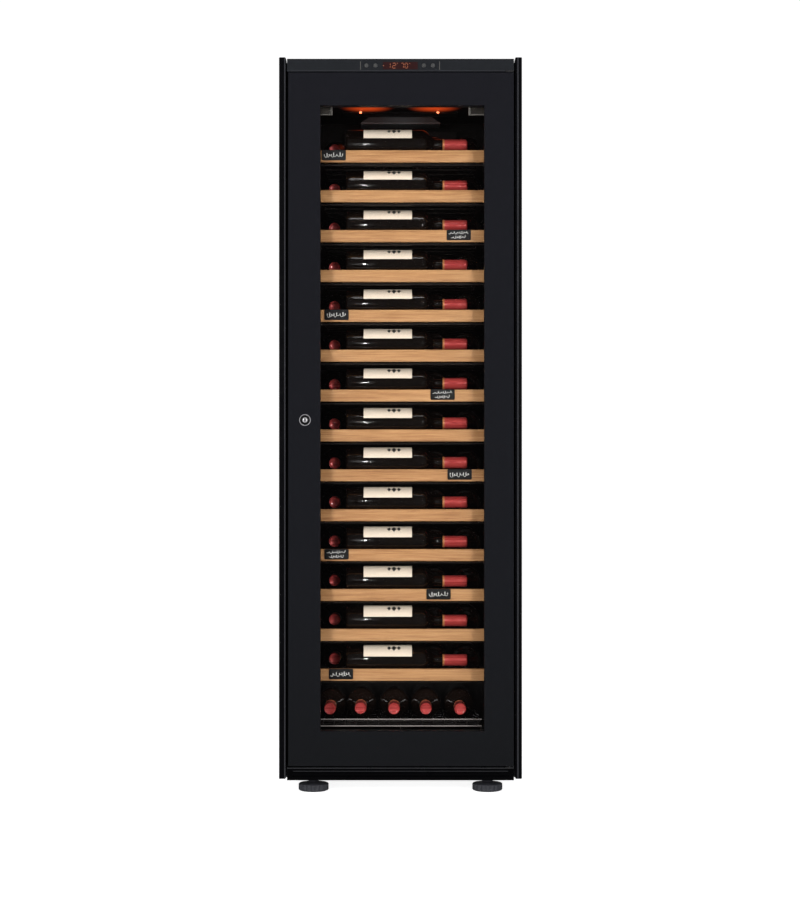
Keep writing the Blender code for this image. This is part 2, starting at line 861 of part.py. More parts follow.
def mains_inlet():
    """Appliance inlet low on the back, a block with a rectangular socket."""
    left, low = INLET_LOW
    right, high = INLET_HIGH
    side, rim = INLET_RIM
    inlet = box("mains_inlet", (left, CASE_BACK + GAP, low), (right, CASE_BACK + INLET_DEPTH, high))
    socket = box(
        "inlet_socket_cutter",
        (left + side, CASE_BACK + INLET_FLOOR, low + rim),
        (right - side, BACK, high - rim),
    )
    cut(inlet, socket)
    paint(TRIM_BLACK, inlet)


clear_scene()
PARTS = collection("wine_cooler")
CUTTERS = collection("cutters")
CUTTERS.hide_render = True

STEEL_BLACK = material("black_painted_steel", (0.012, 0.012, 0.013), 0.45, 0.3)
STEEL_GREY = material("zinc_plated_steel", (0.30, 0.31, 0.32), 0.40, 0.9)
STEEL_OLIVE = material("coated_tray_steel", (0.055, 0.055, 0.045), 0.50, 0.6)
FOAM = material("insulation_foam", (0.75, 0.66, 0.42), 0.90)
LINER_BLACK = material("liner_plastic", (0.015, 0.015, 0.016), 0.60)
TRIM_BLACK = material("trim_lacquer", (0.010, 0.010, 0.011), 0.30)
FASCIA_BLACK = material("fascia_gloss", (0.022, 0.023, 0.026), 0.15)
BUTTON_GREY = material("button_plastic", (0.20, 0.20, 0.21), 0.35)
PRINTED_GLASS = material("printed_glass", (0.014, 0.015, 0.018), 0.05, alpha=0.6)
CLEAR_GLASS = material("clear_glass", (0.60, 0.65, 0.65), 0.03, alpha=0.25)
RUBBER = material("gasket_rubber", (0.02, 0.02, 0.02), 0.80)
CHROME = material("lock_chrome", (0.65, 0.65, 0.66), 0.15, 1.0)
OAK = material("oak", (0.60, 0.36, 0.15), 0.50)
FOOT_GREY = material("foot_plastic", (0.035, 0.036, 0.042), 0.55)
FAN_BLACK = material("fan_plastic", (0.02, 0.02, 0.02), 0.50)

outer_case()
insulation()
liner()
base_tray()
trims()
control_fascia()
plinth_grille()
buttons()
hinges()
frame = door_frame()
panes = door_panes()
gasket = door_gasket()
lock = lock_cylinder()
joint_frame("lock_axis", (LOCK_X, FRONT, LOCK_Z), lock)
joint_frame("door_axis", (*HINGE, DOOR_LOW), frame, *panes, gasket)
shelves()
racks()
bottle_grid()
feet()
compressor()
fan("condenser_fan", CONDENSER_FAN, (1, 0, 0), CONDENSER_FAN_RADIUS, CONDENSER_FAN_DEPTH)
rear_duct_cover()
fan("circulation_fan", CIRCULATION_FAN, (0, -1, 0), CIRCULATION_FAN_RADIUS, CIRCULATION_FAN_DEPTH)
condenser_coil()
mains_inlet()
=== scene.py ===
import math

import bmesh
import bpy
import numpy as np
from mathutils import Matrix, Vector


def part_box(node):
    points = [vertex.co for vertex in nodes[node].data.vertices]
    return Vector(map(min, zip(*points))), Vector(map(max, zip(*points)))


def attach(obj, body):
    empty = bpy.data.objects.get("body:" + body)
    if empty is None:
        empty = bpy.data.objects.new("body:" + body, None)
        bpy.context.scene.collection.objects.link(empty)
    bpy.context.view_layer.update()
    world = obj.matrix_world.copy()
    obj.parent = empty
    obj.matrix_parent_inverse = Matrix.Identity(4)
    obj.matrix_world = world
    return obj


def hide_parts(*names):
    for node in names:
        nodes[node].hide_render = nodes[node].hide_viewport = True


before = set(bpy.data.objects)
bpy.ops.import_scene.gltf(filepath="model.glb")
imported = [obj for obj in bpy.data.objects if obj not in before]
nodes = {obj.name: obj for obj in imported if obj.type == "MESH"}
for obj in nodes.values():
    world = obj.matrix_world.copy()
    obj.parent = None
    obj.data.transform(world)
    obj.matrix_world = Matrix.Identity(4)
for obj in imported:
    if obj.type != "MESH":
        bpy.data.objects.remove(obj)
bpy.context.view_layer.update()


# ---- camera and studio
# The cooler stands alone on a white sweep. The camera is level with the middle of the door, five
# metres in front of the glass, with a long lens, so that the upright edges stay upright.


def extent(node):
    """The lowest and the highest corner of a CAD node's box."""
    return [np.array(corner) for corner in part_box(node)]


def placed(name, data):
    """An object that carries the data, put into the scene."""
    obj = bpy.data.objects.new(name, data)
    bpy.context.scene.collection.objects.link(obj)
    return obj


GLASS_FRONT = extent("outer_glass")[0][1]
CAMERA_DISTANCE = 5.0
CAMERA_HEIGHT = 0.827
camera_data = bpy.data.cameras.new("camera")
camera_data.lens = 81.3
camera_data.sensor_width = 36.0
camera = placed("camera", camera_data)
camera.location = (-0.0012, GLASS_FRONT - CAMERA_DISTANCE, CAMERA_HEIGHT)
camera.rotation_euler = (math.pi / 2, 0.0, 0.0)
bpy.context.scene.camera = camera
bpy.context.scene.view_settings.view_transform = "Standard"


def studio_light(name, place, target, size, power):
    """A rectangular soft light that looks at a point."""
    data = bpy.data.lights.new(name, "AREA")
    data.shape = "RECTANGLE"
    data.size, data.size_y = size
    data.energy = power
    light = placed(name, data)
    light.location = place
    light.rotation_euler = (Vector(target) - Vector(place)).to_track_quat("-Z", "Y").to_euler()
    return light


DOOR_MIDDLE = (0.0, -0.2, 0.9)
for side, name in ((-1, "left"), (1, "right")):
    softbox = studio_light(f"softbox_{name}", (side * 1.75, -4.1, 1.05), DOOR_MIDDLE, (0.45, 2.2), 88.0)
    softbox.visible_glossy = False
    studio_light(f"sparkle_{name}", (side * 1.55, -4.2, 1.45), DOOR_MIDDLE, (0.26, 0.6), 24.0)
studio_light("softbox_top", (0.0, -1.6, 3.4), (0.0, 0.0, 1.5), (2.4, 0.8), 16.0)

# The surroundings are white as a backdrop, a dim fill as light, and nearly dark in reflections.
BACKDROP, FILL, REFLECTED = 1.05, 0.18, 0.07
world = bpy.data.worlds.new("studio")
world.use_nodes = True
bpy.context.scene.world = world
tree = world.node_tree
sky = tree.nodes["Background"].inputs
sky["Color"].default_value = (1.0, 1.0, 1.0, 1.0)
seen = tree.nodes.new("ShaderNodeLightPath")
strength = None
for ray, amount in (("Is Glossy Ray", REFLECTED), ("Is Camera Ray", BACKDROP)):
    choice = tree.nodes.new("ShaderNodeMapRange")
    choice.inputs["To Min"].default_value = FILL
    choice.inputs["To Max"].default_value = amount
    tree.links.new(seen.outputs[ray], choice.inputs["Value"])
    if strength is not None:
        tree.links.new(strength, choice.inputs["To Min"])
    strength = choice.outputs[0]
tree.links.new(strength, sky["Strength"])

FLOOR_REACH, FLOOR_Z = 14.0, -0.0002
floor_mesh = bpy.data.meshes.new("floor")
floor_corners = [(x * FLOOR_REACH, y * FLOOR_REACH, FLOOR_Z) for x, y in ((-1, -1), (1, -1), (1, 1), (-1, 1))]
floor_mesh.from_pydata(floor_corners, [], [(0, 1, 2, 3)])
floor = placed("floor", floor_mesh)
floor_paint = bpy.data.materials.new("floor_paper")
floor_paint.use_nodes = True
FLOOR_PAPER = {
    "Base Color": (0.86, 0.86, 0.86, 1.0), "Roughness": 0.9, "Specular IOR Level": 0.0,
    "Emission Color": (1.0, 1.0, 1.0, 1.0), "Emission Strength": 0.86,
}
for socket, value in FLOOR_PAPER.items():
    floor_paint.node_tree.nodes["Principled BSDF"].inputs[socket].default_value = value
floor_mesh.materials.append(floor_paint)
floor.visible_glossy = False


# ---- outer case and base tray
# Pre-painted steel sheet, folded round the sides, top and back, with a fine orange-peel texture.
# The base tray under it is zinc-plated and carries the feet and the compressor.


class Value:
    """A number that a material works out, wrapping a socket so that plain arithmetic adds nodes."""

    def __init__(self, finish, socket):
        self.finish = finish
        self.socket = socket

    def maths(self, operation, *terms):
        return self.finish.node("ShaderNodeMath", {"operation": operation}, dict(enumerate(terms)))

    def __add__(self, other):
        return self.maths("ADD", self, other)

    def __sub__(self, other):
        return self.maths("SUBTRACT", self, other)

    def __rsub__(self, other):
        return self.maths("SUBTRACT", other, self)

    def __mul__(self, other):
        return self.maths("MULTIPLY", self, other)

    def __truediv__(self, other):
        return self.maths("DIVIDE", self, other)

    def __gt__(self, other):
        return self.maths("GREATER_THAN", self, other)

    def __lt__(self, other):
        return self.maths("LESS_THAN", self, other)

    def __abs__(self):
        return self.maths("ABSOLUTE", self)

    __radd__ = __add__
    __rmul__ = __mul__


class Finish:
    """A Principled material. Fixed values go on its own sockets; set() links what varies."""

    def __init__(self, name, colour, roughness, metallic=0.0, **fixed):
        self.material = bpy.data.materials.new(name)
        self.material.use_nodes = True
        self.tree = self.material.node_tree
        self.shader = self.tree.nodes["Principled BSDF"]
        self.shader.inputs["Base Color"].default_value = (*colour, 1.0)
        self.shader.inputs["Roughness"].default_value = roughness
        self.shader.inputs["Metallic"].default_value = metallic
        for socket, value in fixed.items():
            self.shader.inputs[socket.replace("_", " ")].default_value = value

    def node(self, kind, settings, inputs, output=0):
        """Adds a node: its settings first, then the values or links of its sockets."""
        node = self.tree.nodes.new(kind)
        for name, value in settings.items():
            if name == "stops":
                ramp = node.color_ramp
                while len(ramp.elements) < len(value):
                    ramp.elements.new(0.5)
                for element, (place, colour) in zip(ramp.elements, value):
                    element.position = place
                    element.color = (*colour, 1.0)
            else:
                setattr(node, name, value)
        for key, value in inputs.items():
            socket = node.inputs[key]
            if isinstance(value, Value):
                self.tree.links.new(value.socket, socket)
            else:
                socket.default_value = value
        return Value(self, node.outputs[output])

    def place(self):
        """The point on the piece, in the cooler's own frame."""
        return self.node("ShaderNodeTexCoord", {}, {}, "Object")

    def axis(self, letter):
        return self.node("ShaderNodeSeparateXYZ", {}, {0: self.place()}, letter)

    def noise(self, scale, detail=3.0, roughness=0.5, stretch=(1.0, 1.0, 1.0)):
        """A noise on the point with each axis scaled, so that it is drawn out along the small ones."""
        point = self.node("ShaderNodeVectorMath", {"operation": "MULTIPLY"}, {0: self.place(), 1: stretch})
        inputs = {"Vector": point, "Scale": scale, "Detail": detail, "Roughness": roughness}
        return self.node("ShaderNodeTexNoise", {}, inputs, "Fac")

    def blend(self, factor, low, high):
        """A colour between two, by a factor that varies."""
        inputs = {"Factor": factor}
        for socket, colour in ((6, low), (7, high)):
            inputs[socket] = colour if isinstance(colour, Value) else (*colour, 1.0)
        return self.node("ShaderNodeMix", {"data_type": "RGBA", "clamp_factor": True}, inputs, 2)

    def ramp(self, factor, *stops):
        return self.node("ShaderNodeValToRGB", {"stops": stops}, {0: factor})

    def range(self, value, low, high, to_low, to_high):
        terms = dict(enumerate((value, low, high, to_low, to_high)))
        return self.node("ShaderNodeMapRange", {"clamp": True}, terms)

    def set(self, socket, value):
        self.tree.links.new(value.socket, self.shader.inputs[socket])
        return self

    def tint(self, factor, low, high):
        """The base colour, between two by a factor that varies."""
        return self.set("Base Color", self.blend(factor, low, high))

    def gloss(self, noise, low, high):
        """The roughness, between two by a noise, which lies mostly between 0.3 and 0.7."""
        return self.set("Roughness", self.range(noise, 0.3, 0.7, low, high))

    def bump(self, height, strength, distance):
        inputs = {"Strength": strength, "Distance": distance, "Height": height}
        return self.set("Normal", self.node("ShaderNodeBump", {}, inputs))

    def on(self, *objects):
        for obj in objects:
            obj.data.materials.clear()
            obj.data.materials.append(self.material)


def painted_metal(name, colour, roughness, metallic=0.0):
    """Sprayed paint: a fine orange peel, and patches where the gloss is a little lower."""
    finish = Finish(name, colour, roughness, metallic)
    patches = finish.noise(7.0, 4.0)
    finish.gloss(patches, roughness - 0.06, roughness + 0.08)
    finish.tint(patches, [c * 0.9 for c in colour], [c * 1.15 for c in colour])
    return finish.bump(finish.noise(900.0, 2.0), 0.25, 0.00006)


painted_metal("case_paint", (0.011, 0.011, 0.012), 0.42).on(nodes["outer_case"])
zinc = Finish("zinc_plate", (0.3, 0.31, 0.32), 0.38, 0.9)
spangle = zinc.node("ShaderNodeTexVoronoi", {}, {"Vector": zinc.place(), "Scale": 70.0}, "Color")
spangle = zinc.node("ShaderNodeSeparateColor", {}, {0: spangle})
zinc.tint(spangle, (0.22, 0.23, 0.24), (0.4, 0.41, 0.42))
zinc.set("Roughness", zinc.range(spangle, 0.0, 1.0, 0.3, 0.48))
zinc.on(nodes["base_tray"])
painted_metal("hinge_paint", (0.008, 0.008, 0.009), 0.4).on(nodes["hinge_top"], nodes["hinge_bottom"])

# The foam is cream where the niche shows it, and dark at its front rim behind the door.
FOAM_RIM_Y = -0.2325
foam = Finish("foam_skin", (0.75, 0.66, 0.42), 0.9)
foam_cells = foam.noise(260.0, 6.0, 0.7)
foam_tone = foam.blend(foam_cells, (0.6, 0.5, 0.28), (0.82, 0.74, 0.5))
foam.tint(foam.axis("Y") < FOAM_RIM_Y, foam_tone, (0.006, 0.006, 0.007))
foam.bump(foam_cells, 0.5, 0.0006).on(nodes["insulation"])


# ---- liner and racks
# The liner is vacuum-formed black sheet with a fine leather grain. The racks are injection-moulded
# and clipped to its sides, and the mains inlet is a moulding in the back of the case.


def moulded_plastic(name, colour, roughness, grain=1500.0, depth=0.00008, **fixed):
    """Textured moulding: an even spark-erosion grain over slow changes of gloss."""
    finish = Finish(name, colour, roughness, **fixed)
    slow = finish.noise(11.0, 3.0)
    finish.gloss(slow, roughness - 0.05, roughness + 0.07)
    finish.tint(slow, [c * 0.85 for c in colour], [c * 1.2 for c in colour])
    return finish.bump(finish.noise(grain, 2.0, 0.7), 0.35, depth)


liner = moulded_plastic(
    "liner_sheet", (0.0034, 0.0028, 0.0026), 0.6, Emission_Strength=1.0, Specular_IOR_Level=0.2
)
# Painted glow: the liner's emission colour is reddened in two soft ellipses under the two ceiling lights,
# which fade out from their middles.
CEILING = 1.714
GLOW_X, GLOW_Y = 0.086, -0.02
GLOW_WIDE, GLOW_DEEP = 0.072, 0.07
aside = abs(abs(liner.axis("X")) - GLOW_X) / GLOW_WIDE
behind = abs(liner.axis("Y") - GLOW_Y) / GLOW_DEEP
painted_glow = liner.range(aside * aside + behind * behind, 0.0, 1.0, 1.0, 0.0)
painted_glow = painted_glow * painted_glow * (liner.axis("Z") > CEILING)
liner.set("Emission Color", liner.blend(painted_glow, (0.0, 0.0, 0.0), (0.62, 0.058, 0.008)))
liner.on(nodes["liner"])
rack = moulded_plastic("rack_moulding", (0.006, 0.005, 0.0046), 0.55, Specular_IOR_Level=0.25)
rack.on(nodes["left_rack"], nodes["right_rack"])
moulded_plastic("inlet_moulding", (0.012, 0.012, 0.013), 0.45).on(nodes["mains_inlet"])

AXES = {"X": (1, 2, 0), "Y": (2, 0, 1), "Z": (0, 1, 2)}
CORNER_STEPS = 3
WELD = 1e-6
SHARP_EDGE = math.radians(38)


def rounded_outline(half_a, half_b, radius):
    """A rectangle with quarter-circle corners, once round, counter-clockwise."""
    radius = min(radius, half_a, half_b)
    turns = np.linspace(0.0, math.pi / 2, CORNER_STEPS + 1)
    quarters = []
    for number, (sign_a, sign_b) in enumerate(((1, 1), (-1, 1), (-1, -1), (1, -1))):
        angles = turns + number * math.pi / 2
        a = sign_a * (half_a - radius) + radius * np.cos(angles)
        b = sign_b * (half_b - radius) + radius * np.sin(angles)
        quarters.append(np.stack([a, b], 1))
    return np.concatenate(quarters)


def directions(angles, side, other):
    """The directions at those angles round an axis, counted from side towards other."""
    return np.cos(angles)[..., None] * side + np.sin(angles)[..., None] * other


class Solid:
    """Gathers surfaces into one piece. Each is a grid of points whose rows close on themselves.

    A surface's kind is the place of its finish in the list that piece() gets.
    """

    def __init__(self):
        self.points = []
        self.faces = []
        self.kinds = []
        self.count = 0

    def add(self, rows, kind=0, caps=True):
        """Quads between neighbouring points; with caps, one face fills the first row and the last."""
        rows = np.asarray(rows, float)
        number, columns = rows.shape[:2]
        start = self.count + np.arange(number - 1)[:, None] * columns
        column = np.arange(columns)
        beside = (column + 1) % columns
        corners = (start + column, start + beside, start + columns + beside, start + columns + column)
        faces = np.stack(corners, -1).reshape(-1, 4).tolist()
        if caps:
            last = self.count + (number - 1) * columns
            faces += [list(range(first, first + columns)) for first in (self.count, last)]
        self.points.append(rows.reshape(-1, 3))
        self.faces += faces
        self.kinds += [kind] * len(faces)
        self.count += number * columns
        return self

    def block(self, low, high, radius, along="Z", kind=0, corner=None):
        """A block with rounded edges: near each end the outline draws in along a quarter circle.

        At an angle t round the edge the outline is inset by radius * (1 - sin t), at a distance of
        radius * (1 - cos t) from the end, so the edges and the corners have one radius.
        """
        low, high = np.array(low, float), np.array(high, float)
        middle, half = (low + high) / 2, (high - low) / 2
        order = list(AXES[along])
        half_a, half_b, half_length = half[order]
        corner = corner or radius
        rows = []
        for turn in np.linspace(0.0, math.pi / 2, CORNER_STEPS + 1):
            inset = radius * (1 - math.sin(turn))
            outline = rounded_outline(half_a - inset, half_b - inset, max(corner - inset, 1e-5))
            rows.append((outline, half_length - radius + radius * math.cos(turn)))
        rows += [(outline, -height) for outline, height in reversed(rows)]
        points = np.zeros((len(rows), len(rows[0][0]), 3))
        for number, (outline, height) in enumerate(rows):
            points[number][:, order[:2]] = outline
            points[number][:, order[2]] = height
        return self.add(points + middle, kind)

    def turn(self, profile, centre, axis, steps, kind=0, ripple=None):
        """A profile of (radius, distance along the axis) points turned about the axis.

        With a ripple, each radius is changed by ripple(radius, distance, angle).
        """
        profile = np.array(profile, float)
        angles = np.linspace(0.0, math.tau, steps, endpoint=False)
        radius = profile[:, :1] + np.zeros(steps)
        along = profile[:, 1:] + np.zeros(steps)
        if ripple is not None:
            radius = radius + ripple(radius, along, angles)
        axis = np.array(axis, float)
        side = np.cross(axis, (0.0, 0.0, 1.0) if abs(axis[2]) < 0.9 else (1.0, 0.0, 0.0))
        side /= np.linalg.norm(side)
        ring = radius[..., None] * directions(angles, side, np.cross(axis, side))
        return self.add(np.array(centre, float) + ring + along[..., None] * axis, kind, caps=False)

    def wire(self, path, radius, sides=8, kind=0, caps=True, across=None):
        """A round wire along a path: at each point a circle that lies across the path's direction.

        The circles start from one fixed direction, by default the axis on which the path is flattest.
        """
        path = np.array(path, float)
        along = np.gradient(path, axis=0)
        along /= np.linalg.norm(along, axis=1)[:, None]
        if across is None:
            across = np.eye(3)[int(np.argmin(path.max(0) - path.min(0)))]
        side = np.cross(along, across)
        side /= np.linalg.norm(side, axis=1)[:, None]
        angles = np.linspace(0.0, math.tau, sides, endpoint=False)
        circle = directions(angles, side[:, None], np.cross(along, side)[:, None])
        return self.add(path[:, None] + radius * circle, kind, caps)

    def piece(self, name, body, slot, *finishes, smooth=True, replaces=()):
        """The finished piece. Poles and seams are merged and its faces turned outwards."""
        mesh = bpy.data.meshes.new(name)
        mesh.from_pydata(np.concatenate(self.points).tolist(), [], self.faces)
        for finish in finishes:
            mesh.materials.append(finish.material)
        mesh.polygons.foreach_set("material_index", np.array(self.kinds, np.int32))
        shape = bmesh.new()
        shape.from_mesh(mesh)
        bmesh.ops.remove_doubles(shape, verts=shape.verts, dist=WELD)
        bmesh.ops.dissolve_degenerate(shape, edges=shape.edges, dist=WELD)
        bmesh.ops.recalc_face_normals(shape, faces=shape.faces)
        shape.to_mesh(mesh)
        shape.free()
        if smooth:
            mesh.shade_smooth()
            mesh.set_sharp_from_angle(angle=SHARP_EDGE)
        obj = placed(name, mesh)
        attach(obj, body)
        if replaces:
            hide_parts(*replaces)


# Grey end blocks close the racks at the ceiling, each with a paler moulded edge beside and below.
end_grey = moulded_plastic("rack_end_grey", (0.036, 0.031, 0.025), 0.5)
end_edge = moulded_plastic("rack_end_edge", (0.17, 0.16, 0.145), 0.45)
END_LOW, END_EDGE = 1.6682, 0.1685
for side, name in ((-1, "rack_end_left"), (1, "rack_end_right")):
    inner, outer = sorted((side * 0.1742, side * 0.2415))
    end = Solid().block((inner, -0.196, 1.6712), (outer, -0.184, CEILING), 0.002, "Y")
    end.block((inner, -0.1975, END_LOW), (outer, -0.185, 1.6708), 0.0008, "Y", 1)
    inner, outer = sorted((side * END_EDGE, side * 0.1738))
    end.block((inner, -0.198, END_LOW), (outer, -0.184, CEILING), 0.001, "Y", 1)
    end.piece(name, "cabinet", "rack", end_grey, end_edge)


# ---- fan housing and ceiling lights
# A moulded housing, wider at its foot, hangs across the back of the ceiling. Ahead of it a dark
# strip holds two warm lights, each under a small dome.

HOUSING_BACK = 0.205
housing = Solid().add([
    [(-half, front, z), (half, front, z), (half, HOUSING_BACK, z), (-half, HOUSING_BACK, z)]
    for half, front, z in ((0.078, 0.1, 1.7141), (0.104, 0.128, 1.7018), (0.104, 0.128, 1.6982))
])
housing_grey = moulded_plastic("housing_moulding", (0.125, 0.135, 0.14), 0.45)
housing.piece("fan_housing", "cabinet", "duct_cover", housing_grey, smooth=False)
light_strip = moulded_plastic("light_strip", (0.006, 0.006, 0.006), 0.5)
glow = Finish(
    "warm_light", (1.0, 0.35, 0.12), 0.3, Emission_Color=(1.0, 0.46, 0.3, 1.0), Emission_Strength=0.8
)
glow.gloss(glow.noise(600.0), 0.25, 0.4)
FORWARD = (0, -1, 0)
LAMPS_X, LAMP_Y = (-0.103, 0.0968), 0.029
LAMP_DOME = [(0.0, 0.0022), (0.0021, 0.0019), (0.0032, 0.0011), (0.0036, 0.0), (0.0, 0.0)]
strip = Solid().block((-0.15, LAMP_Y + 0.001, 1.7105), (0.15, 0.096, 1.7142), 0.001, "X")
for x in LAMPS_X:
    strip.turn(LAMP_DOME, (x, LAMP_Y, 1.7125), FORWARD, 20, 1)
strip.piece("ceiling_lights", "cabinet", "duct_cover", light_strip, glow)
for number, x in enumerate(LAMPS_X, 1):
    lamp_data = bpy.data.lights.new(f"lamp_{number}", "POINT")
    lamp_data.energy = 0.06
    lamp_data.color = (1.0, 0.16, 0.04)
    lamp_data.shadow_soft_size = 0.004
    lamp = placed(f"lamp_{number}", lamp_data)
    lamp.location = (x, LAMP_Y - 0.012, 1.704)
    lamp.visible_camera = False
    lamp.visible_glossy = False
bay_lamp = studio_light("bay_lamp", (0.0, -0.135, 0.26), (0.0, 0.0, 0.17), (0.4, 0.003), 0.22)
bay_lamp.visible_camera = False


# ---- evaporator duct and circulation fan
# A shallow moulded cover hides the evaporator on the back wall. The fan in it moves the air round
# the room, and a chromed ring guard keeps bottles off its blades.

duct = moulded_plastic("duct_moulding", (0.0075, 0.0062, 0.0058), 0.5, Specular_IOR_Level=0.25)
duct.on(nodes["rear_duct_cover"])
fan_plastic = moulded_plastic("fan_moulding", (0.022, 0.022, 0.023), 0.35)
FAN_BLADES = 7
BLADE_HALF = 0.0006


def fan_rotor(name, node, axis):
    """A hub with curved blades: each blade's chord turns from 38 to 20 degrees along its length.

    Gives back the two corners and the middle of the fan's box.
    """
    low, high = extent(node)
    centre = (low + high) / 2
    axis = np.array(axis, float)
    index = int(np.argmax(np.abs(axis)))
    reach = np.delete(high - low, index).min() / 2 - 0.0003
    depth = (high - low)[index] / 2
    side = np.roll(axis, 1)
    other = np.cross(axis, side)
    hub = reach * 0.38
    profile = [(0.0, -depth), (hub - 0.001, -depth), (hub, -depth + 0.001), (hub, depth - 0.003)]
    profile += [(hub - 0.003, depth), (0.0, depth)]
    solid = Solid().turn(profile, centre, axis, 32)
    along = np.linspace(0.0, 1.0, 9)
    chord = np.linspace(-1.0, 1.0, 7)[None, :]
    radius = hub * 0.9 + (reach - hub * 0.9) * along
    pitch = np.radians(38 - 18 * along)
    width = reach * (0.2 + 0.12 * along)
    turned = chord * (width * np.cos(pitch))[:, None] / radius[:, None]
    rise = chord * (width * np.sin(pitch))[:, None] * 0.62 + 0.0015 * (1 - chord**2)
    rise = np.clip(rise, -depth + 0.0008, depth - 0.0008)[..., None]
    for number in range(FAN_BLADES):
        sweep = number * math.tau / FAN_BLADES + 0.35 * along**2
        flat = centre + radius[:, None, None] * directions(sweep[:, None] + turned, side, other)
        upper = flat + (rise + BLADE_HALF) * axis
        lower = flat + (rise - BLADE_HALF) * axis
        solid.add(np.concatenate([upper, lower[:, ::-1]], 1))
    solid.piece(name, node, "fan", fan_plastic, replaces=[node])
    return low, high, centre


def track(x, y, z):
    """A row of points. Each coordinate is a row of numbers, or one number for all the points."""
    return np.stack(np.broadcast_arrays(x, y, z), -1)


fan_middle = fan_rotor("circulation_rotor", "circulation_fan", FORWARD)[2]
GUARD_Y = extent("rear_duct_cover")[0][1] - 0.0016
GUARD_REACH, GUARD_WIRE = 0.061, 0.0011
guard = Solid()
round_turn = np.linspace(0.0, math.tau, 49)
for radius in (0.012, 0.024, 0.036, 0.048, GUARD_REACH):
    x, z = fan_middle[0] + radius * np.cos(round_turn), fan_middle[2] + radius * np.sin(round_turn)
    guard.wire(track(x, GUARD_Y, z), GUARD_WIRE, 6, caps=False)
for spoke in range(4):
    turn = spoke * math.pi / 4 + math.pi / 8
    reach = np.array((-GUARD_REACH, GUARD_REACH))
    x, z = fan_middle[0] + reach * math.cos(turn), fan_middle[2] + reach * math.sin(turn)
    guard.wire(track(x, GUARD_Y - 0.0018, z), GUARD_WIRE, 6)
chromed_wire = Finish("chromed_wire", (0.45, 0.44, 0.42), 0.25, 1.0)
chromed_wire.gloss(chromed_wire.noise(60.0), 0.18, 0.36)
guard.piece("fan_guard", "cabinet", "fan", chromed_wire)


# ---- shelves
# Each shelf is a pressed steel tray, coated dark, with an oak board screwed to its front edge.
# The tray's scalloped cradles keep the bottles apart, and some boards carry a slate tag.

oak = Finish("oiled_oak", (0.62, 0.37, 0.17), 0.46)
fibres = oak.noise(46.0, 6.0, 0.62, (0.22, 5.0, 6.5))
rays = oak.noise(160.0, 4.0, 0.6, (0.12, 4.0, 4.0))
boards = oak.noise(3.2, 2.0, 0.5, (0.8, 1.0, 4.0))
grain = oak.ramp(
    fibres, (0.34, (0.285, 0.118, 0.04)), (0.5, (0.47, 0.232, 0.09)), (0.66, (0.57, 0.308, 0.13))
)
tone = oak.blend(oak.range(rays, 0.4, 0.65, 0.0, 0.6), grain, (0.33, 0.15, 0.055))
oak.tint(oak.range(boards, 0.3, 0.7, 0.0, 0.3), tone, (0.6, 0.345, 0.152))
oak.gloss(fibres, 0.55, 0.38)
oak.bump(fibres + rays * 0.6, 0.45, 0.0002)
tray_coat = painted_metal("tray_coat", (0.016, 0.012, 0.01), 0.42, 0.5)
slate = Finish("slate_tag", (0.012, 0.012, 0.013), 0.55)
dust = slate.noise(300.0, 5.0, 0.7)
slate.tint(slate.range(dust, 0.45, 0.85, 0.0, 0.25), (0.0045, 0.0045, 0.005), (0.055, 0.055, 0.055))
slate.bump(dust, 0.3, 0.0001)
chalk = Finish("chalk_mark", (0.8, 0.79, 0.76), 0.95)
chalk.bump(chalk.noise(900.0, 3.0), 0.6, 0.0002)

# Each cradle's place, height, depth of scallop, and how many points it leaves out on the left.
CRADLES = ((-0.182, 0.0112, 0.0, 8), (-0.138, 0.0112, 0.0, 8), (0.06, 0.006, 0.0045, 0))
CRADLE_HALF = 0.0011
BOTTLE_PITCH = 0.083
TAG_CENTRES = {1: -0.165, 3: 0.144, 5: -0.158, 7: 0.104, 9: 0.146, 11: -0.158, 12: 0.094, 14: -0.147}
TAG_HALF = np.array((0.03, 0.001, 0.013))
TAG_DROP = 0.0125
TWO_LINES = (3, 7, 11)
SHELVES = sorted(name[-2:] for name in nodes if name.startswith("shelf_front_"))


def cradle_bars(tray_top):
    """Three low walls across a tray: two straight ones in front and a scalloped one behind.

    The scallops are half of one plus the cosine of the distance across, once round a bottle.
    """
    bars = Solid()
    reach = np.linspace(-0.192, 0.192, 65)
    for y, height, scallop, left_out in CRADLES:
        crest = tray_top + height - scallop * (0.5 + 0.5 * np.cos(reach * math.tau / BOTTLE_PITCH))
        foot = np.full(65, tray_top + 0.0002)
        across = y + CRADLE_HALF * np.array((-1, 1, 1, -1))
        bars.add(track(reach[:, None], across, np.stack([foot, foot, crest, crest], 1))[left_out:])
    return bars


def chalk_strokes(tag, centre, seed, line, scale, lift):
    """A wordless chalk scribble: loops that run along a line while their height swells and shrinks."""
    sway = np.linspace(-1.0, 1.0, 121)
    loops = 23.0 * sway + 1.6 * np.sin(4.0 * sway + seed)
    tall = 0.62 + 0.38 * np.sin(9.0 * sway + seed)
    x = centre[0] + (0.0235 - 0.006 * line) * sway + 0.0021 * scale * np.cos(loops)
    z = centre[2] + lift + 0.006 * scale * tall * np.sin(loops) + 0.001 * sway
    tag.wire(track(x, centre[1] - 0.00115, z), 0.00052, 5, 1)


